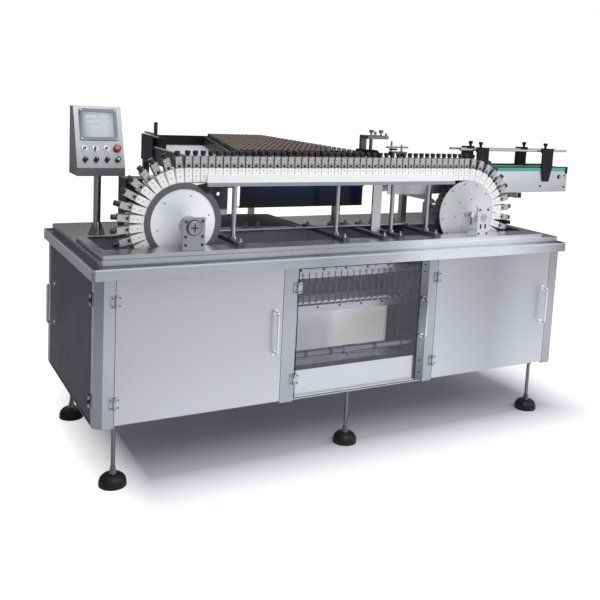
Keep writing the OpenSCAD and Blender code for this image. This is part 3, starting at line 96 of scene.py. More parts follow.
def put(nt, value, socket):
    """Link a socket, or set a plain value or colour."""
    if isinstance(value, bpy.types.NodeSocket):
        nt.links.new(value, socket)
    elif isinstance(value, tuple) and len(value) == 3 and socket.type == "RGBA":
        socket.default_value = (*value, 1)
    else:
        socket.default_value = value


def node(nt, kind, **sockets):
    n = nt.nodes.new(kind)
    for name, value in sockets.items():
        put(nt, value, n.inputs[name.replace("_", " ")])
    return n


def calc(nt, op, a, b=0.0):
    n = nt.nodes.new("ShaderNodeMath")
    n.operation = op
    put(nt, a, n.inputs[0])
    put(nt, b, n.inputs[1])
    return n.outputs[0]


def times(nt, a, b):
    return calc(nt, "MULTIPLY", a, b)


def less(nt, a, b):
    return calc(nt, "SUBTRACT", a, b)


def distance(nt, a, b):
    """Length of the vector (a, b)."""
    return calc(nt, "SQRT", calc(nt, "ADD", times(nt, a, a), times(nt, b, b)))


def coords(nt, scale=(1, 1, 1)):
    tc = nt.nodes.new("ShaderNodeTexCoord")
    mp = nt.nodes.new("ShaderNodeMapping")
    mp.inputs["Scale"].default_value = scale
    nt.links.new(tc.outputs["Object"], mp.inputs["Vector"])
    return mp.outputs["Vector"]


def noise(nt, vec, scale=1.0, detail=3.0, rough=0.55):
    n = node(nt, "ShaderNodeTexNoise", Vector=vec, Scale=scale, Detail=detail, Roughness=rough)
    return n.outputs["Fac"]


def remap(nt, value, lo, hi, a=0.0, b=1.0):
    """Value from the range a to b into the range lo to hi."""
    n = node(nt, "ShaderNodeMapRange", Value=value, From_Min=a, From_Max=b, To_Min=lo, To_Max=hi)
    return n.outputs["Result"]


def spread_out(nt, value, lo=0, hi=1):
    """The middle of a noise stretched over the range lo to hi."""
    return remap(nt, value, lo, hi, 0.3, 0.7)


def mix_color(nt, fac, a, b, blend="MIX"):
    m = nt.nodes.new("ShaderNodeMix")
    m.data_type = "RGBA"
    m.blend_type = blend
    for name, value in (("A", a), ("B", b)):
        put(nt, value, [s for s in m.inputs if s.name == name and s.type == "RGBA"][0])
    put(nt, fac, m.inputs[0])
    return [s for s in m.outputs if s.type == "RGBA"][0]


def tinted(nt, a, b):
    """Product of two colours."""
    return mix_color(nt, 1.0, a, b, "MULTIPLY")


def dimmed(color, factor):
    return tuple(min(1, c * factor) for c in color)


def bump(nt, bsdf, height, strength, depth=0.001):
    b = node(nt, "ShaderNodeBump", Strength=strength, Distance=depth, Height=height)
    nt.links.new(b.outputs["Normal"], bsdf.inputs["Normal"])


def ramp(nt, value, stops):
    """Colour ramp of (place, grey or colour) stops."""
    r = nt.nodes.new("ShaderNodeValToRGB")
    e = r.color_ramp.elements
    while len(e) > 1:
        e.remove(e[-1])
    for i, (spot, c) in enumerate(stops):
        el = e[0] if i == 0 else e.new(spot)
        el.position = spot
        el.color = (c, c, c, 1) if isinstance(c, (int, float)) else (*c, 1)
    nt.links.new(value, r.inputs["Fac"])
    return r.outputs["Color"]


def split(nt, vector):
    sp = nt.nodes.new("ShaderNodeSeparateXYZ")
    nt.links.new(vector, sp.inputs["Vector"])
    return sp.outputs


def place(nt):
    """X, Y and Z of the shaded point in cabinet millimetres."""
    out = split(nt, nt.nodes.new("ShaderNodeTexCoord").outputs["Object"])
    x = calc(nt, "ADD", times(nt, out["X"], MM), MIDDLE_X)
    y = calc(nt, "ADD", times(nt, out["Y"], MM), MIDDLE_Y)
    return x, y, times(nt, out["Z"], MM)


def span(nt, value, ends, stops):
    """Ramp laid from one end to the other of a stretch in millimetres."""
    return ramp(nt, remap(nt, value, 0, 1, *ends), stops)


def step(nt, value, start, end):
    """0 before start, 1 after end."""
    return remap(nt, value, 0, 1, start, end)


def inside(nt, value, ends, soft):
    """1 between two places, 0 outside them."""
    lo, hi = ends
    return times(nt, step(nt, value, lo - soft, lo), remap(nt, value, 1, 0, hi, hi + soft))


def shaded(nt, color, shade):
    """Colour darkened and lightened as painted shade and light by a list of (axis, ends, stops)."""
    xyz = place(nt) if shade else ()
    for axis, ends, stops in shade:
        color = tinted(nt, color, span(nt, xyz["XYZ".index(axis)], ends, stops))
    return color


# Materials
def brushed(name, color, rough, grain, spread, shade=(), metallic=1.0, dull=0.05):
    """Brushed sheet, streaked along the axis that has the low grain number."""
    m, nt, b = new_material(name)
    n = noise(nt, coords(nt, grain), 1.0, 4.0, 0.6)
    cloud = noise(nt, coords(nt, (2, 2, 2)), 1.0, 2.0, 0.5)
    col = mix_color(nt, spread_out(nt, n), dimmed(color, 1 - spread), dimmed(color, 1 + spread))
    col = mix_color(nt, remap(nt, cloud, 0, dull, 0.35, 0.65), col, dimmed(color, 0.7))
    put(nt, shaded(nt, col, shade), b.inputs["Base Color"])
    put(nt, spread_out(nt, n, rough * 0.85, rough * 1.2), b.inputs["Roughness"])
    b.inputs["Metallic"].default_value = metallic
    bump(nt, b, n, 0.04, 0.0005)
    return m


def plain(name, color, rough, metallic, grain, depth, coat=0.0, spots=0.08, shade=(), spec=0.5):
    """Painted, moulded or machined surface with a fine texture."""
    m, nt, b = new_material(name)
    v = coords(nt)
    n = noise(nt, v, grain, 2.0, 0.5)
    cloud = noise(nt, v, 9.0, 3.0, 0.5)
    col = mix_color(nt, spread_out(nt, cloud), dimmed(color, 1 - spots), color)
    put(nt, shaded(nt, col, shade), b.inputs["Base Color"])
    put(nt, spread_out(nt, cloud, rough * 0.9, rough * 1.1), b.inputs["Roughness"])
    b.inputs["Metallic"].default_value = metallic
    b.inputs["Coat Weight"].default_value = coat
    b.inputs["Specular IOR Level"].default_value = spec
    bump(nt, b, n, depth, 0.0004)
    return m


def glass(name, color, rough, alpha):
    m, nt, b = new_material(name)
    cloud = noise(nt, coords(nt, (2, 2, 2)), 2.0, 2.0)
    put(nt, spread_out(nt, cloud, rough, rough * 3), b.inputs["Roughness"])
    put(nt, mix_color(nt, spread_out(nt, cloud), color, dimmed(color, 0.95)), b.inputs["Base Color"])
    b.inputs["Alpha"].default_value = alpha
    b.inputs["Specular IOR Level"].default_value = 0.25
    return m


def worktop_look():
    """Satin steel, darker where it faces up and banded along its rims, all as painted reflection."""
    m, nt, b = new_material("worktop_steel")
    n = noise(nt, coords(nt, (5, 240, 240)), 1.0, 4.0, 0.6)
    x, y, z = place(nt)
    # Painted reflection bands along X, on the sides and on the top
    side = span(nt, x, WORKTOP_X, [
        (0.0, 0.50), (0.16, 0.52), (0.28, 0.55), (0.42, 0.46), (0.55, 0.62),
        (0.64, 1.0), (0.84, 1.0), (0.93, 0.7), (1.0, 0.36)])
    top = span(nt, x, WORKTOP_X, [
        (0.0, 0.44), (0.12, 0.50), (0.3, 0.9), (0.5, 1.0), (0.7, 1.0), (1.0, 0.7)])
    # Painted shade on the top towards the rear
    rear = span(nt, y, (380, 900), [(0.0, 1.0), (0.25, 0.75), (1.0, 0.62)])
    # Painted shade where the steel faces up
    normal = nt.nodes.new("ShaderNodeNewGeometry").outputs["Normal"]
    upward = spread_out(nt, split(nt, normal)["Z"])
    tone = mix_color(nt, upward, side, tinted(nt, top, rear))
    # Painted highlight along the top edge of the rim
    lip = times(nt, inside(nt, z, (RIM_TOP_Z - 5, RIM_TOP_Z), 1.0), 0.55)
    tone = mix_color(nt, lip, tone, (1.0, 1.0, 1.0))
    base = mix_color(nt, spread_out(nt, n), (0.84, 0.86, 0.90), (0.90, 0.92, 0.96))
    put(nt, tinted(nt, base, tone), b.inputs["Base Color"])
    put(nt, spread_out(nt, n, 0.22, 0.34), b.inputs["Roughness"])
    b.inputs["Metallic"].default_value = 1.0
    bump(nt, b, n, 0.04, 0.0005)
    return m


def tank_look():
    """Steel darker inside as painted shade, a paler tub on top, and a glowing painted highlight on the
    baffle.
    """
    m, nt, b = new_material("tank_steel")
    n = noise(nt, coords(nt, (200, 200, 6)), 1.0, 4.0, 0.6)
    mottle = noise(nt, coords(nt, (14, 14, 3)), 1.0, 3.0, 0.6)
    x, y, z = place(nt)
    # Painted shade inside the tank below the paler tub, mottled at random
    low = mix_color(nt, remap(nt, mottle, 0, 1, 0.35, 0.65), (0.14, 0.15, 0.17), (0.26, 0.27, 0.30))
    tub = mix_color(nt, mottle, (0.34, 0.35, 0.38), (0.46, 0.47, 0.50))
    steel = mix_color(nt, step(nt, z, 770, 790), low, tub)
    # Painted shade over the right part of the tank
    gloom = span(nt, x, (1300, 1700), [(0.0, 1.0), (0.3, 0.3), (0.62, 0.3), (0.66, 0.9), (1.0, 0.8)])
    steel = tinted(nt, steel, gloom)
    # Painted highlight on the splash baffle, which also glows
    bright = span(nt, x, BAFFLE_X, [
        (0.0, (0.56, 0.57, 0.60)), (0.48, (0.74, 0.75, 0.78)), (0.56, (1.0, 1.0, 1.0)),
        (0.97, (1.0, 1.0, 1.0)), (1.0, (0.6, 0.61, 0.64))])
    baffle = times(nt, inside(nt, y, BAFFLE_Y, 1.0), inside(nt, z, BAFFLE_Z, 6.0))
    put(nt, mix_color(nt, baffle, steel, bright), b.inputs["Base Color"])
    put(nt, bright, b.inputs["Emission Color"])
    put(nt, times(nt, baffle, 0.26), b.inputs["Emission Strength"])
    put(nt, spread_out(nt, n, 0.3, 0.45), b.inputs["Roughness"])
    b.inputs["Metallic"].default_value = 0.55
    bump(nt, b, n, 0.06, 0.0006)
    return m


def loop_caps(nt):
    """1 on the caps of the bottles on the chain, which stand furthest from the loop's middle."""
    x, _, z = place(nt)
    nearest = calc(nt, "MINIMUM", calc(nt, "MAXIMUM", x, LEFT_X), RIGHT_X)
    far = distance(nt, less(nt, x, nearest), less(nt, z, AXLE_Z))
    return step(nt, far, 262.0, 262.6)


def deck_caps(nt):
    """1 on the caps of the bottles that stand on the deck."""
    return step(nt, place(nt)[2], 1235.0, 1236.4)


def bottle_look(name, caps, dark_cap, light_cap):
    """Amber glass with mottled caps where the mask from caps is 1."""
    m, nt, b = new_material(name)
    on_cap = caps(nt)
    v = coords(nt)
    cloud = noise(nt, v, 30.0, 3.0, 0.6)
    amber = mix_color(nt, spread_out(nt, cloud), (0.020, 0.013, 0.009), (0.075, 0.050, 0.030))
    spots = remap(nt, noise(nt, v, 46.0, 2.0, 0.7), 0, 1, 0.35, 0.65)
    cap = mix_color(nt, spots, dark_cap, light_cap)
    put(nt, mix_color(nt, on_cap, amber, cap), b.inputs["Base Color"])
    put(nt, remap(nt, on_cap, 0.22, 0.5), b.inputs["Roughness"])
    b.inputs["Coat Weight"].default_value = 0.3
    bump(nt, b, noise(nt, v, 900.0, 2.0), 0.03, 0.0003)
    return m


def feed_frame_look():
    """Steel legs under a frame that is much darker above 1000 mm."""
    m, nt, b = new_material("feed_frame_steel")
    n = noise(nt, coords(nt, (5, 240, 240)), 1.0, 4.0, 0.6)
    z = place(nt)[2]
    steel = mix_color(nt, n, (0.40, 0.41, 0.44), (0.50, 0.51, 0.53))
    # The frame is drawn much darker above 1000 mm
    upper_dark = mix_color(nt, n, (0.035, 0.038, 0.045), (0.09, 0.095, 0.11))
    put(nt, mix_color(nt, step(nt, z, 1000, 1010), steel, upper_dark), b.inputs["Base Color"])
    put(nt, spread_out(nt, n, 0.25, 0.4), b.inputs["Roughness"])
    b.inputs["Metallic"].default_value = 0.8
    bump(nt, b, n, 0.05, 0.0005)
    return m


def apron_look():
    """Dark blue sheet with a lighter band of painted reflection, and painted shade towards its ends."""
    m, nt, b = new_material("navy_gloss")
    x, _, z = place(nt)
    n = noise(nt, coords(nt, (6, 6, 90)), 1.0, 3.0, 0.6)
    # Painted reflection band across the height of the sheet
    band = span(nt, z, APRON_Z, [
        (0.0, (0.002, 0.003, 0.008)), (0.30, (0.003, 0.006, 0.030)), (0.48, (0.006, 0.020, 0.11)),
        (0.62, (0.010, 0.035, 0.14)), (0.75, (0.004, 0.012, 0.06)), (1.0, (0.002, 0.004, 0.015))])
    # Painted shade towards both ends
    side = span(nt, x, APRON_X, [(0.0, 0.25), (0.18, 0.7), (0.4, 1.0), (0.75, 0.8), (1.0, 0.5)])
    col = mix_color(nt, remap(nt, n, 0, 0.3, 0.4, 0.7), tinted(nt, band, side), (0.0, 0.002, 0.02))
    put(nt, col, b.inputs["Base Color"])
    b.inputs["Roughness"].default_value = 0.25
    b.inputs["Coat Weight"].default_value = 0.1
    b.inputs["Specular IOR Level"].default_value = 0.2
    bump(nt, b, n, 0.02, 0.0005)
    return m


def screen_look():
    """Display with a soft pale picture, darker at its edges."""
    m, nt, b = new_material("screen_glass")
    x, _, z = place(nt)
    v = noise(nt, coords(nt), 700.0, 2.0)
    side = span(nt, x, SCREEN_X, [
        (0.0, (0.14, 0.18, 0.20)), (0.10, (0.26, 0.30, 0.32)), (0.3, (0.38, 0.43, 0.43)),
        (0.7, (0.41, 0.46, 0.46)), (0.92, (0.28, 0.33, 0.34)), (1.0, (0.16, 0.20, 0.22))])
    high = span(nt, z, SCREEN_Z, [(0.0, 0.6), (0.15, 0.9), (0.5, 1.0), (0.85, 0.92), (1.0, 0.66)])
    put(nt, tinted(nt, side, high), b.inputs["Base Color"])
    put(nt, remap(nt, v, 0.12, 0.2), b.inputs["Roughness"])
    b.inputs["Coat Weight"].default_value = 0.6
    bump(nt, b, v, 0.01, 0.0003)
    return m


def wheel_look(name, wheel_x, painted_brightness):
    """Turned face, off-white with a painted sheen sweeping round it, and a dark ribbed drum behind it."""
    m, nt, b = new_material(name)
    x, y, z = place(nt)
    dx, dz = less(nt, x, wheel_x), less(nt, z, AXLE_Z)
    rings = node(nt, "ShaderNodeCombineXYZ", X=times(nt, distance(nt, dx, dz), 0.9)).outputs[0]
    turned = noise(nt, rings, 1.0, 2.0)
    angle = calc(nt, "ARCTAN2", dz, dx)
    # Painted sheen that sweeps round the face
    painted_sheen = calc(nt, "SINE", calc(nt, "ADD", times(nt, angle, 2.0), 0.7))
    face = mix_color(nt, step(nt, painted_sheen, -1, 1), (0.70, 0.72, 0.74), (0.93, 0.94, 0.95))
    face = mix_color(nt, spread_out(nt, turned, 0, 0.25), face, (0.50, 0.51, 0.53))
    drum = mix_color(nt, turned, (0.10, 0.105, 0.12), (0.26, 0.27, 0.29))
    deep = step(nt, y, WHEEL_Y + 6, WHEEL_Y + 8)
    # The face's colour is scaled by a painted light and shade factor
    put(nt, mix_color(nt, deep, tinted(nt, face, (painted_brightness, painted_brightness, painted_brightness)), drum), b.inputs["Base Color"])
    b.inputs["Roughness"].default_value = 0.42
    b.inputs["Metallic"].default_value = 0.35
    bump(nt, b, turned, 0.05, 0.0004)
    return m


def floor_look():
    """Studio floor that glows, white to the camera away from the machine and shaded under it, where its
    glow is held back as painted shade.

    Reflections see a painted glow from the floor, bright in front and dark at the left.
    """
    m, nt, b = new_material("floor_white")
    x, y, _ = place(nt)
    # The glow is held back near the machine, which paints shade round it
    right = calc(nt, "MAXIMUM", less(nt, x, 2220.0), 0.0)
    left = calc(nt, "MAXIMUM", times(nt, calc(nt, "SUBTRACT", 200.0, x), 2.2), 0.0)
    from_middle = calc(nt, "ABSOLUTE", less(nt, y, 440.0))
    across = calc(nt, "MAXIMUM", less(nt, from_middle, 400.0), 0.0)
    clear = distance(nt, calc(nt, "ADD", right, left), across)
    seen = times(nt, calc(nt, "POWER", step(nt, clear, 0, 520), 0.8), 0.85)
    # Painted glow that reflections see, bright in front and dark at the left
    mirrored = times(nt, remap(nt, y, 0.42, 0.0, -500, 200), step(nt, x, -500, 300))
    camera_ray = nt.nodes.new("ShaderNodeLightPath").outputs["Is Camera Ray"]
    more = times(nt, camera_ray, less(nt, seen, mirrored))
    put(nt, calc(nt, "ADD", more, mirrored), b.inputs["Emission Strength"])
    b.inputs["Emission Color"].default_value = (1, 1, 1, 1)
    grain = noise(nt, coords(nt), 3.0, 3.0)
    put(nt, mix_color(nt, grain, (0.56, 0.57, 0.60), (0.58, 0.59, 0.62)), b.inputs["Base Color"])
    b.inputs["Roughness"].default_value = 0.9
    b.inputs["Specular IOR Level"].default_value = 0.0
    return m


# Painted light and shade along the sheets, as (axis, ends, stops)
# Painted reflection bands on the left and right front doors
LEFT_DOOR_SHADE = [("Z", DOOR_Z, [(0.0, 1.05), (0.35, 0.94), (0.8, 0.88), (1.0, 0.82)]),
                   ("X", LEFT_DOOR_X, [(0.0, 0.92), (0.5, 0.98), (1.0, 1.03)])]
RIGHT_DOOR_SHADE = [("Z", DOOR_Z, [(0.0, 1.05), (0.3, 0.95), (0.7, 0.86), (1.0, 0.82)]),
                    ("X", RIGHT_DOOR_X, [(0.0, 1.05), (0.5, 0.82), (0.75, 1.02), (1.0, 1.05)])]
# Painted shade on the frame at its foot and top, and a band of painted shade on the splash rail
FRAME_SHADE = [("Z", CABINET_Z, [(0.0, 0.9), (0.5, 1.0), (1.0, 0.84)]),
               ("Y", (90, 140), [(0.3, 1.0), (0.4, 0.4), (0.7, 0.4), (0.8, 1.0)])]
# Painted reflection on the side door, lighter towards the front
SIDE_SHADE = [("Y", SIDE_DOOR_Y, [(0.0, 1.15), (0.5, 0.9), (1.0, 0.8)])]
# Painted reflection bands on the window stile, with the stile darker than its handle
STILE_SHADE = [("Y", (-34, 2), [(0.85, 1.0), (0.90, 0.33)]),
               ("Z", CABINET_Z, [(0.0, 0.8), (0.4, 1.4), (0.7, 0.7), (1.0, 1.2)])]
# Painted shade on the nozzles above the spray header
SPRAY_SHADE = [("Z", (560, 680), [(0.25, 1.0), (0.27, 0.12), (1.0, 0.3)])]
# Painted shade on the lower run of the white grippers and guide rails
GRIPPER_SHADE = [("Z", (700, 1100), [(0.0, 0.28), (0.3, 0.34), (0.5, 1.0)])]
# Painted shade low on the control box and painted light at its top
BOX_SHADE = [("Z", (BOX_Z, BOX_Z + BOX_H),
              [(0.0, 0.42), (0.10, 0.46), (0.13, 0.62), (0.35, 0.80), (1.0, 1.12)])]
# Painted shade and reflection bands on the conveyor's side plates
CONVEYOR_SHADE = [("Z", CONVEYOR_Z, [(0.0, 0.80), (0.35, 0.88), (0.8, 0.98), (1.0, 1.0)]),
                  ("X", (1800, 2458), [(0.0, 0.94), (0.35, 1.0), (0.7, 0.9), (1.0, 0.82)])]
ALONG_X, UPRIGHT, WIDE_UPRIGHT = (6, 260, 260), (260, 260, 4), (320, 320, 4)

M = {
    "door_l": brushed("door_steel", (0.62, 0.63, 0.65), 0.36, WIDE_UPRIGHT, 0.025, LEFT_DOOR_SHADE),
    "door_r": brushed("right_door_steel", (0.62, 0.63, 0.66), 0.36, WIDE_UPRIGHT, 0.025, RIGHT_DOOR_SHADE),
    # The frame steel is drawn darker than the panels, as painted shade
    "frame": brushed("frame_steel", (0.48, 0.49, 0.52), 0.3, UPRIGHT, 0.03, FRAME_SHADE),
    "panel": brushed("panel_steel", (0.72, 0.73, 0.75), 0.34, UPRIGHT, 0.03),
    "top": worktop_look(),
    "tank": tank_look(),
    # The side door is the same steel as the front doors, drawn near black as painted shade
    "side": brushed("side_steel", (0.034, 0.038, 0.052), 0.42, (300, 300, 5), 0.06, SIDE_SHADE, 0.9),
    "stile": brushed("stile_steel", (0.60, 0.62, 0.66), 0.25, UPRIGHT, 0.05, STILE_SHADE),
    "bright": plain("bright_steel", (0.62, 0.63, 0.65), 0.2, 1.0, 500, 0.03),
    "hinge": plain("hinge_steel", (0.42, 0.43, 0.46), 0.32, 1.0, 500, 0.05),
    "handle": plain("handle_steel", (0.86, 0.87, 0.88), 0.2, 0.9, 500, 0.03),
    "spindle": plain("spindle_steel", (0.20, 0.21, 0.23), 0.25, 1.0, 500, 0.05),
    "bar": brushed("bar_steel", (0.46, 0.47, 0.50), 0.28, ALONG_X, 0.06),
    "spray": brushed("spray_steel", (0.46, 0.47, 0.50), 0.3, ALONG_X, 0.06, SPRAY_SHADE),
    "pipe": brushed("pipe_steel", (0.20, 0.21, 0.23), 0.3, ALONG_X, 0.1),
    # Painted light and shade: the left wheel's face drawn lighter, the right one's darker
    "lwheel": wheel_look("left_wheel_metal", LEFT_X, 1.25),
    "rwheel": wheel_look("right_wheel_metal", RIGHT_X, 0.86),
    "pulley": plain("pulley_metal", (0.5, 0.51, 0.53), 0.38, 0.85, 300, 0.08),
    "ring": plain("ring_grey", (0.135, 0.14, 0.155), 0.5, 0.3, 400, 0.06),
    "chain": plain("chain_steel", (0.26, 0.265, 0.28), 0.35, 1.0, 400, 0.08),
    "jaw": brushed("jaw_steel", (0.58, 0.585, 0.60), 0.34, (900, 900, 900), 0.12, (), 0.7, 0.2),
    "nylon": plain("nylon_white", (0.93, 0.93, 0.93), 0.5, 0.0, 500, 0.04, 0.05, 0.03, GRIPPER_SHADE),
    "enamel": plain("enamel_grey", (0.36, 0.37, 0.39), 0.36, 0.35, 1200, 0.05, 0.15, 0.03, BOX_SHADE),
    "white": plain("enamel_white", (0.70, 0.71, 0.73), 0.35, 0.0, 900, 0.04, 0.2, 0.03),
    "block": plain("block_grey", (0.36, 0.37, 0.39), 0.34, 0.6, 500, 0.08, 0.0, 0.12),
    "black": plain("black_plastic", (0.007, 0.007, 0.009), 0.45, 0.0, 1500, 0.08, spec=0.25),
    "rubber": plain("foot_rubber", (0.010, 0.010, 0.011), 0.45, 0.0, 700, 0.12, spec=0.35),
    "cast": plain("cast_paint", (0.016, 0.018, 0.024), 0.4, 0.2, 500, 0.15, spec=0.3),
    "navy": apron_look(),
    "deck": plain("deck_white", (0.80, 0.82, 0.84), 0.3, 0.1, 300, 0.03, 0.2),
    "head": plain("head_metal", (0.26, 0.27, 0.29), 0.32, 0.9, 500, 0.08),
    "belt": plain("belt_teal", (0.02, 0.26, 0.22), 0.45, 0.0, 900, 0.15),
    # Teal for a painted reflection of the belt on the conveyor's side plate
    "teal_reflection": plain("teal_reflection", (0.10, 0.36, 0.33), 0.4, 0.0, 900, 0.08, 0.2),
    "gripped": bottle_look("gripped_amber", loop_caps, (0.008, 0.008, 0.009), (0.014, 0.014, 0.015)),
    "standing": bottle_look("standing_amber", deck_caps, (0.018, 0.012, 0.008), (0.10, 0.066, 0.040)),
    "pane": glass("window_glass", (0.80, 0.84, 0.88), 0.02, 0.05),
    "screen": screen_look(),
    "bezel": plain("bezel_blue_grey", (0.10, 0.125, 0.15), 0.3, 0.3, 500, 0.03, 0.2),
    "green": plain("green_cap", (0.005, 0.13, 0.05), 0.3, 0.0, 400, 0.03, 0.4),
    "red": plain("red_cap", (0.42, 0.035, 0.06), 0.3, 0.0, 400, 0.03, 0.4),
    "darkred": plain("dark_red_cap", (0.22, 0.03, 0.045), 0.3, 0.0, 400, 0.03, 0.4),
    "lever": plain("lever_grey", (0.16, 0.165, 0.18), 0.3, 0.6, 400, 0.03, 0.2),
    "motor": plain("motor_grey", (0.16, 0.18, 0.21), 0.45, 0.3, 400, 0.1),
    "feed": feed_frame_look(),
    "conv": brushed("conveyor_steel", (0.86, 0.88, 0.90), 0.34, ALONG_X, 0.02, CONVEYOR_SHADE),
    "pale": plain("pale_plastic", (0.55, 0.59, 0.60), 0.4, 0.0, 500, 0.03, 0.1),
    "crossbar": plain("crossbar_grey", (0.10, 0.105, 0.12), 0.35, 0.5, 500, 0.06),
    "dot": plain("dark_dot", (0.05, 0.052, 0.06), 0.35, 0.7, 500, 0.05),
    # Black for a painted dark reflection on the table
    "dark_reflection": plain("painted_dark_reflection", (0.008, 0.008, 0.009), 0.5, 0.0, 300, 0.1),
}
LOOK = {
    "base_frame": "frame", "cabinet_panels": "panel", "worktop": "top", "wash_tank": "tank",
    "foot_spindles": "spindle", "foot_pads": "rubber", "fixed_hinges": "hinge",
    "left_door": "door_l", "left_door_handle": "handle", "window_pane": "pane", "window_stile": "stile",
    "right_door": "door_r", "right_door_handle": "handle", "side_door": "side",
    "side_door_handle": "handle", "left_wheel": "lwheel", "left_wheel_ring": "ring",
    "left_shaft": "bright", "right_wheel": "rwheel", "right_shaft": "bright",
    "shaft_bearings": "block", "tension_bearing": "white", "drive_gearbox": "cast",
    "roller_chain": "chain", "gripper_bodies": "nylon", "gripper_jaws": "jaw",
    "gripped_bottles": "gripped", "guide_rails": "nylon", "guide_bars": "bar", "rail_posts": "bright",
    "cross_bars": "crossbar", "spray_header": "spray", "water_pipe": "pipe", "valve_lever": "lever",
    "water_pump": "motor", "hmi_post": "bar", "hmi_box": "enamel", "hmi_bezel": "bezel",
    "hmi_screen": "screen", "start_button": "green", "key_switch": "green", "lamp_button": "darkred",
    "emergency_stop": "red", "selector_a": "black", "selector_b": "black", "selector_c": "black",
    "speed_knob": "black", "feed_frame": "feed", "feed_deck": "deck", "feed_apron": "navy",
    "feed_rails": "black", "feed_bottles": "standing", "transfer_head": "head", "star_wheel": "black",
    "conveyor_frame": "conv", "conveyor_belt": "belt", "drive_pulley": "pulley",
    "tail_pulley": "pulley", "guide_rods": "bar", "guide_brackets": "black",
}
for name, obj in NODES.items():
    for material_slot in obj.material_slots:
        material_slot.material = M[LOOK[name]]

# Widths of the soft edges on the sheet and block nodes
EDGES = {"worktop": 1.6, "base_frame": 1.6, "left_door": 1.6, "right_door": 1.6, "side_door": 1.6,
         "hmi_box": 4, "tension_bearing": 1.5, "shaft_bearings": 1.5, "drive_gearbox": 4,
         "guide_rails": 1.2, "hmi_bezel": 1.2, "feed_deck": 1, "transfer_head": 1,
         "cross_bars": 1.5, "gripper_bodies": 1.0}
for name, width in EDGES.items():
    bevel = NODES[name].modifiers.new("edges", "BEVEL")
    bevel.width = width / MM
    bevel.segments = 2
    bevel.limit_method = "ANGLE"
    bevel.angle_limit = math.radians(50)
    bevel.use_clamp_overlap = True

# Forms, as (points, faces) in cabinet millimetres
FRONT, UP, RIGHT, REAR, LEFT = (0, -1, 0), (0, 0, 1), (1, 0, 0), (0, 1, 0), (-1, 0, 0)


def box_form(a, b):
    """Box between two opposite corners."""
    points = [(x, y, z) for x in (a[0], b[0]) for y in (a[1], b[1]) for z in (a[2], b[2])]
    return points, [(0, 1, 3, 2), (4, 6, 7, 5), (0, 4, 5, 1), (2, 3, 7, 6), (0, 2, 6, 4), (1, 5, 7, 3)]


def turned_form(origin, axis, outline, sides=16):
    """Outline of (radius, height) turned about an axis."""
    axis = Vector(axis).normalized()
    u = axis.orthogonal().normalized()
    w = axis.cross(u)
    origin = Vector(origin)
    points, faces = [], []
    for radius, height in outline:
        for i in range(sides):
            turn = 2 * math.pi * i / sides
            ray = u * math.cos(turn) + w * math.sin(turn)
            points.append(tuple(origin + axis * height + ray * radius))
    last = (len(outline) - 1) * sides
    for low in range(0, last, sides):
        high = low + sides
        for i in range(sides):
            j = (i + 1) % sides
            faces.append((low + i, low + j, high + j, high + i))
    faces.append(tuple(range(sides))[::-1])
    faces.append(tuple(range(last, last + sides)))
    return points, faces


def rod(origin, axis, r, length, sides=16, edge=0.0):
    """Round bar, with chamfered ends when edge is given."""
    outline = [(r, 0), (r, length)]
    if edge:
        outline = [(r - edge, 0), (r, edge), (r, length - edge), (r - edge, length)]
    return turned_form(origin, axis, outline, sides)


def prism(outline, y0, y1):
    """Outline of (x, z) points between two depths."""
    n = len(outline)
    points = [(x, y, z) for y in (y0, y1) for x, z in outline]
    faces = [tuple(range(n)), tuple(range(n, 2 * n))[::-1]]
    faces += [(i, n + i, n + (i + 1) % n, (i + 1) % n) for i in range(n)]
    return points, faces


def moved(form, matrix):
    return [tuple(matrix @ Vector(p)) for p in form[0]], form[1]


def circle_of(count, u, v, radius, start):
    """Evenly spaced places on a circle round (u, v), the first at start degrees."""
    turns = [math.radians(start + i * 360 / count) for i in range(count)]
    return [(u + radius * math.cos(a), v + radius * math.sin(a)) for a in turns]


def piece(name, look, body, forms, smooth=True):
    """One visible piece out of several forms, riding on a body."""
    points, faces = [], []
    for form_points, form_faces in forms:
        base = len(points)
        points += [tuple(at(*p)) for p in form_points]
        faces += [tuple(i + base for i in face) for face in form_faces]
    mesh = bpy.data.meshes.new(name)
    mesh.from_pydata(points, [], faces)
    mesh.validate()
    ob = bpy.data.objects.new(name, mesh)
    bpy.context.scene.collection.objects.link(ob)
    mesh.materials.append(M[look])
    bpy.context.view_layer.objects.active = ob
    ob.select_set(True)
    bpy.ops.object.mode_set(mode="EDIT")
    bpy.ops.mesh.select_all(action="SELECT")
    bpy.ops.mesh.normals_make_consistent(inside=False)
    bpy.ops.object.mode_set(mode="OBJECT")
    if smooth:
        bpy.ops.object.shade_auto_smooth(angle=math.radians(40))
    ob.select_set(False)
    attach(ob, body)


def on_link(i):
    """Place of a gripper on the loop: upper run, right wheel, lower run, left wheel."""
    half = ROUND_PITCHES // 2
    lower, after = i - RUN_PITCHES - half, i - 2 * RUN_PITCHES - half
    if i < RUN_PITCHES:
        return Matrix.Translation((LEFT_X + (i + 0.5) * PITCH, 0, AXLE_Z + PITCH_R))
    if lower < 0:
        turn, axle = (i - RUN_PITCHES + 0.5) * 360 / ROUND_PITCHES, RIGHT_X
    elif after < 0:
        spot = Matrix.Translation((RIGHT_X - (lower + 0.5) * PITCH, 0, AXLE_Z - PITCH_R))
        return spot @ Matrix.Rotation(math.pi, 4, "Y")
    else:
        turn, axle = 180 + (after + 0.5) * 360 / ROUND_PITCHES, LEFT_X
    spot = Matrix.Translation((axle, 0, AXLE_Z)) @ Matrix.Rotation(math.radians(turn), 4, "Y")
    return spot @ Matrix.Translation((0, 0, CHORD_R))


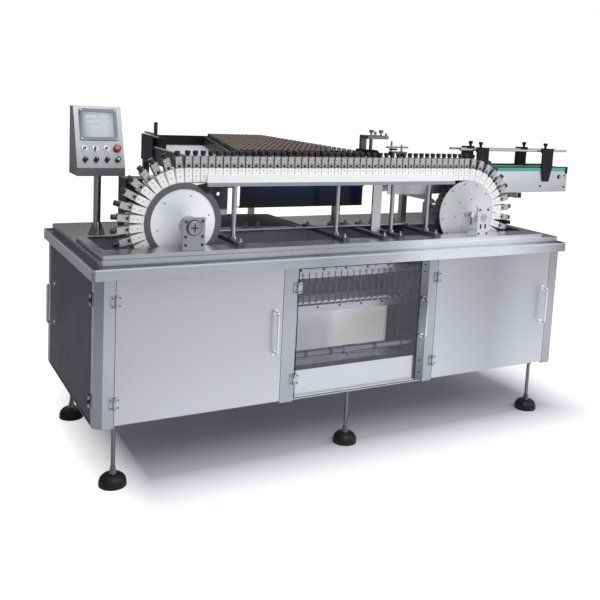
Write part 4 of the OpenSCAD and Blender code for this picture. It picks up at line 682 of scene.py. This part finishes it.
def on_slope(u, v):
    """Place on the slope of the control box, as shares of its width and length from the top."""
    spot = (BOX_X + u * BOX_W, BOX_Y + BOX_RUN * (1 - v), BOX_Z + BOX_H - v * BOX_RISE)
    return Matrix.Translation(spot) @ Matrix.Rotation(math.pi / 2 - BOX_LEAN, 4, "X")


# Grippers: screw heads on jaws and bodies, and the folded edges of the jaws
JAW_Y, BODY_Y = 153.25, 149.75
JAW_SCREWS = ((-8.5, 84, 1.5), (8.5, 84, 1.5), (-9.5, 55, 2.2), (9.5, 55, 2.2),
              (-8, 66, 1.8), (8, 66, 1.8), (0, 71, 2.2))
JAW_FOLDS = (((-13.4, 151.6, 95.4), (13.4, 153.3, 97.9)),
             ((-13.4, 152.2, 50.4), (-12.2, 153.3, 95.4)),
             ((12.2, 152.2, 50.4), (13.4, 153.3, 95.4)))
jaw_screws, body_screws, jaw_folds = [], [], []
for i in range(2 * RUN_PITCHES + ROUND_PITCHES):
    link = on_link(i)
    jaw_screws += [moved(rod((x, JAW_Y, z), FRONT, r, 0.7, 8), link) for x, z, r in JAW_SCREWS]
    body_screws += [moved(rod((0, BODY_Y, z), FRONT, 2.0, 0.8, 8), link) for z in (20, 41)]
    jaw_folds += [moved(box_form(a, b), link) for a, b in JAW_FOLDS]
piece("jaw_screws", "dot", "machine", jaw_screws)
piece("body_screws", "dot", "machine", body_screws)
piece("jaw_folds", "bright", "machine", jaw_folds, False)

# Bottles of the rows that the frame leaves out, right of the slanting divider
LANE = 26.8
ROW = LANE * math.sin(math.radians(60))
FIRST_ROW_Y, LAST_ROW, CLOSE_ROWS, REAR_STEP = 253, 46, 4, 3
ROW_END_X = 1190
DIVIDER_X, DIVIDER_Y = 578, 240
DIVIDER_SLOPE = (324 - 18) / (1380 - DIVIDER_Y)
BOTTLE_R = 12
DIVIDER_GAP = (BOTTLE_R + 1) * math.sqrt(1 + DIVIDER_SLOPE * DIVIDER_SLOPE)
BOTTLE = [(0.1, 0), (11.2, 0), (BOTTLE_R, 1), (BOTTLE_R, 40), (7.2, 47.6), (7.2, 52),
          (10.5, 52.4), (10.5, 67), (9.8, 68)]
row_bottles = []
for k in range(CLOSE_ROWS, LAST_ROW + 1):
    if (k - CLOSE_ROWS + 1) % REAR_STEP == 0:
        continue
    y = FIRST_ROW_Y + k * ROW
    first_x = DIVIDER_X + DIVIDER_SLOPE * (y - DIVIDER_Y) + DIVIDER_GAP
    last_x = ROW_END_X - (k % 2) / 2 * LANE
    for i in range(int((last_x - first_x) // LANE) + 1):
        row_bottles.append(turned_form((last_x - i * LANE, y, BOTTLE_FOOT_Z), UP, BOTTLE, 10))
piece("deck_bottles_between", "standing", "machine", row_bottles)

# Screws on the hinge leaves: fixed leaf before the knuckle, moving leaf after it
LEAF_Y, FIXED_LEAF, MOVING_LEAF = -3.05, -12, 15
leaf_heights = [CABINET_Z[0] + z + dz for z in HINGE_HEIGHTS for dz in (-15, 15)]
fixed_screws, moving_screws = [], {}
FRONT_LEAVES = (("left_door", LEFT_DOOR_X), ("window_door", WINDOW_X), ("right_door", RIGHT_DOOR_X))
for body, (x0, _) in FRONT_LEAVES:
    moving_screws[body] = []
    for leaf, screws in ((FIXED_LEAF, fixed_screws), (MOVING_LEAF, moving_screws[body])):
        screws += [rod((x0 + leaf, LEAF_Y, z), FRONT, 3.0, 1.2, 10) for z in leaf_heights]
moving_screws["side_door"] = []
for leaf, screws in ((FIXED_LEAF, fixed_screws), (MOVING_LEAF, moving_screws["side_door"])):
    x, y = SIDE_DOOR_X + LEAF_Y, SIDE_DOOR_Y[0] + leaf
    screws += [rod((x, y, z), LEFT, 3.0, 1.2, 10) for z in leaf_heights]
piece("hinge_screws", "dot", "machine", fixed_screws)
for body, screws in moving_screws.items():
    piece(body + "_hinge_screws", "dot", body, screws)

# Window: seal, stile screws, and the bolts of the rail, header and pipe behind it
SEAL_X0, SEAL_X1, SEAL_Z0, SEAL_Z1, SEAL_W = WINDOW_X[0] + 3, 1387, DOOR_Z[0] + 1, DOOR_Z[1] - 2, 4
seal = [box_form((x0, -0.6, z0), (x1, 0.2, z1)) for x0, x1, z0, z1 in (
    (SEAL_X0, SEAL_X1, SEAL_Z0, SEAL_Z0 + SEAL_W),
    (SEAL_X0, SEAL_X1, SEAL_Z1 - SEAL_W, SEAL_Z1),
    (SEAL_X0, SEAL_X0 + SEAL_W, SEAL_Z0 + SEAL_W, SEAL_Z1 - SEAL_W))]
piece("window_seal", "black", "window_door", seal, False)
stile_screws = [rod((1409, 0.1, z), FRONT, 4.5, 1.6, 12) for z in (285, 340, 745, 775)]
piece("stile_screws", "dot", "window_door", stile_screws)
BOLT_PLACES = range(300, 2000, 110)
rail_screws = [rod((x, 114.9, 757), FRONT, 5.0, 2.6, 12) for x in BOLT_PLACES]
header_bolts = [rod((x, 152.9, 582), FRONT, 5.0, 3.0, 12) for x in BOLT_PLACES]
piece("splash_rail_screws", "dot", "machine", rail_screws)
piece("header_bolts", "dot", "machine", header_bolts)
nozzle_places = [LEFT_X + (i + 0.5) * PITCH for i in range(RUN_PITCHES)]
nozzle_nuts = [rod((x, 168, 591.2), UP, 6.5, 9, 6) for x in nozzle_places]
piece("nozzle_nuts", "bar", "machine", nozzle_nuts)
pipe_clamps = [rod((x, 42, 419), RIGHT, 16, 14, 20, 1) for x in (840, 960, 1180, 1320)]
piece("pipe_clamps", "dot", "machine", pipe_clamps)

# Bearings: turned cap with a cross recess at the left, slotted block and tension screw at the right
CAP = [(27, -6.3), (27, 1.5), (25, 3.2), (21, 3.6), (20, 2.2), (3, 2.2)]
CAP_RING = [(27.2, -2.9), (30.5, -2.9), (30.5, 0.5), (27.2, 0.5)]
BLOCK_Y = 26.9
cap = turned_form((LEFT_X, 20.6, AXLE_Z), FRONT, CAP, 32)
cap_ring = turned_form((LEFT_X, 24, AXLE_Z), FRONT, CAP_RING, 32)
# The cross recess is drawn as dark bars on the cap, as painted shade in the recess
cross = [box_form((LEFT_X - w, 16.2, AXLE_Z - h), (LEFT_X + w, 18.6, AXLE_Z + h))
         for w, h in ((15, 2), (2, 15))]
block_bolts = [rod((LEFT_X + x, BLOCK_Y, AXLE_Z + z), FRONT, 5.5, 4, 6)
               for x in (-33, 33) for z in (24, -34, -66)]
piece("left_bearing_cap", "block", "machine", [cap])
piece("left_bearing_cross", "dot", "machine", cross + block_bolts, False)
piece("left_bearing_ring", "dot", "machine", [cap_ring])
right_bolts = [rod((RIGHT_X + x, BLOCK_Y, AXLE_Z + z), FRONT, 5, 4, 6)
               for x in (-23, 23) for z in (-74, 36)]
piece("right_bearing_bolts", "dot", "machine", right_bolts)
# Real slots in the block, drawn as black boxes for the painted shade in them
slots = [box_form((x, 26.5, 919.6), (x + 9, 31, 941.0)) for x in (1720, 1747)]
piece("right_bearing_slots", "black", "machine", slots, False)
tension = [rod((1660, 34, 986), RIGHT, 9, 8, 6), rod((1694, 34, 986), RIGHT, 8, 7, 6),
           box_form((1672, 27.5, 940), (1684, 40, 1003))]
piece("tension_parts", "bar", "machine", tension, False)

# Screw heads on the wheel faces
SPOT_Y, SPOT_H = 149.9, 0.9
left_spots = [rod((x, SPOT_Y, z), FRONT, 3, SPOT_H, 12)
              for x, z in circle_of(6, LEFT_X, AXLE_Z, 108, 15)]
piece("left_wheel_spots", "dot", "left_wheel_set", left_spots)
right_spots = [rod((x, SPOT_Y, z), FRONT, r, SPOT_H, 12)
               for count, radius, r in ((12, 141, 3.4), (6, 70, 3.0))
               for x, z in circle_of(count, RIGHT_X, AXLE_Z, radius, 10)]
piece("right_wheel_spots", "dot", "right_wheel_set", right_spots)

# Upper guide rail: wedge shoes at its ends, joints along it
SHOE_Y = (139.2, 146.4)
shoes = [prism([(392, 1121), (440, 1128), (440, 1086), (428, 1090)], *SHOE_Y),
         prism([(1640, 1121), (1592, 1128), (1592, 1110), (1604, 1106)], *SHOE_Y)]
piece("guide_shoes", "black", "machine", shoes, False)
rail_joints = [box_form((x, 138.0, 1112.5), (x + 2.2, 138.9, 1126)) for x in range(445, 1640, 32)]
piece("rail_joints", "bar", "machine", rail_joints, False)

# Curb: nuts and studs on the cross bars, a polished rod and clamps across them
POST_SHARES = (0.149, 0.490, 0.633, 0.692, 0.830)
curb_nuts = []
for x in [LEFT_X + share * (RIGHT_X - LEFT_X) for share in POST_SHARES]:
    for y, stud in ((66, 10), (404, 8)):
        curb_nuts += [rod((x, y, 899.8), UP, 9, 8, 6), rod((x, y, 907), UP, 4.5, stud, 12)]
piece("curb_nuts", "bright", "machine", curb_nuts)
piece("curb_rod", "handle", "machine", [rod((548, 300, 905.9), RIGHT, 6, 960, 16)])
curb_clamps = []
for x in (700, 760, 930, 1130, 1350):
    curb_clamps += [box_form((x, 384, CURB_Z + 0.2), (x + 26, 406, 906)),
                    rod((x + 13, 395, 905), UP, 7, 14, 6)]
piece("curb_clamps", "bar", "machine", curb_clamps, False)

# Black sheet on the table under the feed table as a painted dark reflection, and a fitting at the end of
# the tub
REFLECTION_CORNERS = [(820, 976), (1074, 932), (1090, 566), (664, 612)]
reflection_points = [(x, y, z) for z in (TABLE_Z + 0.1, TABLE_Z + 1.3) for x, y in REFLECTION_CORNERS]
reflection_faces = [(0, 1, 2, 3), (4, 5, 6, 7)]
reflection_faces += [(i, (i + 1) % 4, 4 + (i + 1) % 4, 4 + i) for i in range(4)]
piece("table_dark_reflection", "dark_reflection", "machine", [(reflection_points, reflection_faces)], False)
tub_end = [box_form((2118, 300, CURB_Z + 0.2), (2150, 392, 902)),
           rod((2134, 345, 901), UP, 15, 17, 20, 2)]
piece("tub_end_fitting", "black", "machine", tub_end)

# Gearbox: cover plate and bolts, and the fins of its motor
cover = box_form((197, 433.6, 880), (395, 435.1, 1100))
piece("gearbox_cover", "cast", "machine", [cover], False)
gear_bolts = [rod((x, 433.7, z), FRONT, 5, 3, 6) for x in (206, 292, 386) for z in (890, 990, 1092)]
piece("gearbox_bolts", "dot", "machine", gear_bolts)
fins = [rod((335, 552 + i * 15, 1012), REAR, 57.6, 4, 40) for i in range(12)]
piece("motor_fins", "cast", "machine", fins)

# Control box: screen middle, and the shares of its control columns and rows
SCREEN_MIDDLE = on_slope(0.5, 77.5 / math.hypot(BOX_RISE, BOX_RUN))
COLUMNS, BUTTON_ROW, KNOB_ROW = (0.176, 0.402, 0.630, 0.856), 0.681, 0.864
CONTROLS = [(u, v) for u in COLUMNS for v in (BUTTON_ROW, KNOB_ROW)]
SCREEN_BLOCKS = ((-50, 26, 44, 14), (2, 26, 44, 14), (-50, 4, 28, 14), (-16, 4, 28, 14),
                 (18, 4, 28, 14), (-50, -40, 96, 3), (-50, -30, 60, 3), (-50, -20, 78, 3))
bezel_screws = [moved(rod((x, y, 4.05), UP, 2.4, 0.9, 10), SCREEN_MIDDLE)
                for x in (-70, 70) for y in (-61, 61)]
piece("bezel_screws", "bar", "machine", bezel_screws)
blocks = [moved(box_form((x, y, 2.1), (x + w, y + h, 2.5)), SCREEN_MIDDLE)
          for x, y, w, h in SCREEN_BLOCKS]
piece("screen_blocks", "pale", "machine", blocks, False)
for u, body in zip(COLUMNS, ("selector_a", "selector_b", "selector_c")):
    mark = moved(box_form((-1.6, 1.0, 15.8), (1.6, 10.2, 16.6)), on_slope(u, KNOB_ROW))
    piece(body + "_mark", "pale", body, [mark], False)
knob_mark = moved(rod((0, 0, 15.7), UP, 5.5, 0.8, 20), on_slope(COLUMNS[3], KNOB_ROW))
piece("speed_knob_mark", "pale", "speed_knob", [knob_mark])
key_bow = moved(box_form((-2.2, -7.6, 15.9), (2.2, 7.6, 16.9)), on_slope(COLUMNS[1], BUTTON_ROW))
piece("key_bow", "pale", "key_switch", [key_bow], False)
COLLAR = [(8.6, 0), (11.4, 0), (11.4, 0.5), (8.6, 0.5)]
collars = [moved(turned_form((0, 0, 2.55), UP, COLLAR, 28), on_slope(u, v)) for u, v in CONTROLS]
piece("control_collars", "bar", "machine", collars)
plates = [moved(box_form((-9, -5, 0.05), (9, 5, 0.5)), on_slope(u, v - 0.085)) for u, v in CONTROLS]
piece("box_plates", "enamel", "machine", plates, False)
base_bolts = [rod((x, y, 873), UP, 4.5, 5, 6) for x, y in circle_of(4, 104, 546, 25, 45)]
piece("post_base_bolts", "bright", "machine", base_bolts)

# Conveyor: a teal strip of painted reflection of the belt and black edges on its side plates, screw heads
teal = [box_form((CONVEYOR_X[0], 238.9, 1163), (2440, 240.1, CONVEYOR_Z[1]))]
piece("belt_reflection_strip", "teal_reflection", "machine", teal, False)
strips = [box_form((CONVEYOR_X[0], 240.2, 1180.3), (2446, 243.6, 1186)),
          box_form((CONVEYOR_X[0], 346.4, 1180.3), (2446, 349.8, 1192)),
          box_form((2441, 238.7, 1150), (CONVEYOR_X[1], 240.1, 1186))]
piece("conveyor_strips", "black", "machine", strips, False)
# The large screw head stands here twice, which darkens it
CONVEYOR_SCREWS = ((2402, 1134, 11), (2276, 1087, 6), (2440, 1080, 6), (2440, 1140, 5),
                   (2050, 1090, 5), (1900, 1090, 5), (2402, 1134, 11))
conveyor_screws = [rod((x, CONVEYOR_Y - 0.1, z), FRONT, r, 1.6, 14) for x, z, r in CONVEYOR_SCREWS]
piece("conveyor_screws", "dot", "machine", conveyor_screws)

# Transfer: knobs, posts and arms over the belt, and black guards along the bottles' way
arms = [rod((1291, 290, 1320), UP, 6, 20, 12), rod((1350, 290, 1320), UP, 6, 12, 12),
        rod((1410, 330, 1186), UP, 4.5, 108, 12), rod((1467, 330, 1186), UP, 4.5, 92, 12),
        box_form((1385, 322, 1262), (1500, 338, 1270)), box_form((1400, 300, 1240), (1480, 338, 1247))]
piece("transfer_arms", "bright", "machine", arms)
guards = [box_form((1219, 300, 1216), (1243, 334, 1258)), box_form((1300, 326, 1186), (1340, 346, 1246)),
          box_form((1345, 244, 1258), (1385, 252, 1266)), box_form((1240, 247, 1218), (1330, 252, 1226)),
          rod((1410, 330, 1228), UP, 13, 16, 16), rod((1467, 330, 1222), UP, 13, 14, 16)]
piece("transfer_guards", "black", "machine", guards, False)
outfeed = [box_form((1380, 222, 1206), (1744, 226, 1216))]
outfeed += [box_form((x, 222, 1186), (x + 8, 240.1, 1216)) for x in (1400, 1560, 1728)]
piece("outfeed_guide", "black", "machine", outfeed, False)

# Feed table: side plates and edge rods at the rear left
side_plates = [box_form((551, 1240, 1104), (559.8, 1436, 1236)),
               box_form((548, 246, 1126), (559.8, 276, 1178))]
piece("feed_side_plate", "cast", "machine", side_plates, False)
edge_rods = [rod((556, 1160, 1236), REAR, 5, 276, 12), rod((570, 1300, 1246), REAR, 6, 130, 12)]
piece("feed_edge_rods", "bar", "machine", edge_rods)

# Camera: place, yaw from +Y towards +X, tilt downwards and roll, as fitted to the photograph
CAMERA_AT = (-739, -2885, 1497)
YAW, TILT, ROLL = (math.radians(a) for a in (29.7, 7.3, 3.0))
LENS_PX, SHIFT_X, SHIFT_Y, FRAME_PX = 825, 30, -100, 600
SENSOR_MM = 36
forward = Vector((math.sin(YAW) * math.cos(TILT), math.cos(YAW) * math.cos(TILT), -math.sin(TILT)))
level_right = Vector((math.cos(YAW), -math.sin(YAW), 0))
level_up = level_right.cross(forward)
right = level_right * math.cos(ROLL) + level_up * math.sin(ROLL)
up = level_up * math.cos(ROLL) - level_right * math.sin(ROLL)
camera_data = bpy.data.cameras.new("photo_camera")
camera = bpy.data.objects.new("photo_camera", camera_data)
bpy.context.scene.collection.objects.link(camera)
turned = Matrix((right, up, -forward)).transposed().to_4x4()
camera.matrix_world = Matrix.Translation(at(*CAMERA_AT)) @ turned
camera_data.sensor_width = SENSOR_MM
camera_data.lens = SENSOR_MM * LENS_PX / FRAME_PX
camera_data.shift_x = -SHIFT_X / FRAME_PX
camera_data.shift_y = SHIFT_Y / FRAME_PX
camera_data.clip_end = 100
bpy.context.scene.camera = camera

# Floor
bpy.ops.mesh.primitive_plane_add(size=80, location=(0, 0, 0))
floor = bpy.context.object
floor.name = "floor"
floor.data.materials.append(floor_look())

# World: white to the camera, and to everything else a soft studio that is dark at the rear left
world = bpy.data.worlds.new("studio")
bpy.context.scene.world = world
world.use_nodes = True
wn = world.node_tree
wn.nodes.clear()
direction = split(wn, wn.nodes.new("ShaderNodeTexCoord").outputs["Generated"])
sky = ramp(wn, remap(wn, direction["Z"], 0, 1, -1, 1), [
    (0.0, (0.50, 0.51, 0.53)), (0.50, (0.62, 0.63, 0.66)), (0.60, (0.80, 0.81, 0.84)),
    (0.80, (1.0, 1.0, 1.0)), (1.0, (0.8, 0.8, 0.82))])
dim_rear = remap(wn, direction["Y"], 1.0, 0.34, -0.15, 0.55)
dim_left = remap(wn, direction["X"], 0.28, 1.0, -0.8, 0.1)
overhead = remap(wn, direction["Z"], 0.0, 1.0, 0.25, 0.75)
sides = times(wn, dim_rear, dim_left)
level = calc(wn, "ADD", sides, times(wn, overhead, calc(wn, "SUBTRACT", 1.0, sides)))
grey = node(wn, "ShaderNodeCombineXYZ", X=level, Y=level, Z=level).outputs[0]
studio_light = node(wn, "ShaderNodeBackground", Color=tinted(wn, sky, grey), Strength=0.5)
backdrop = node(wn, "ShaderNodeBackground", Color=(1.0, 1.0, 1.0), Strength=1.0)
chooser = wn.nodes.new("ShaderNodeMixShader")
world_out = wn.nodes.new("ShaderNodeOutputWorld")
wn.links.new(wn.nodes.new("ShaderNodeLightPath").outputs["Is Camera Ray"], chooser.inputs["Fac"])
wn.links.new(studio_light.outputs["Background"], chooser.inputs[1])
wn.links.new(backdrop.outputs["Background"], chooser.inputs[2])
wn.links.new(chooser.outputs["Shader"], world_out.inputs["Surface"])


def soft_light(name, spot, target, size, power):
    """Square area light in metres and watts, aimed at a target."""
    data = bpy.data.lights.new(name, "AREA")
    data.energy = power
    data.size = size
    ob = bpy.data.objects.new(name, data)
    bpy.context.scene.collection.objects.link(ob)
    ob.location = spot
    ob.rotation_euler = (Vector(target) - Vector(spot)).to_track_quat("-Z", "Y").to_euler()


soft_light("key", (-0.6, -3.6, 4.4), (0.1, 0, 0.6), 3.0, 95)
soft_light("fill", (3.5, -3.0, 2.6), (0.3, 0, 0.7), 2.5, 30)
soft_light("back", (0.5, 3.5, 3.8), (0, 0, 0.8), 3.0, 35)
soft_light("top", (0.2, -0.2, 5.0), (0.1, 0, 0), 4.0, 95)

bpy.context.scene.view_settings.view_transform = "Standard"
bpy.context.scene.view_settings.look = "None"
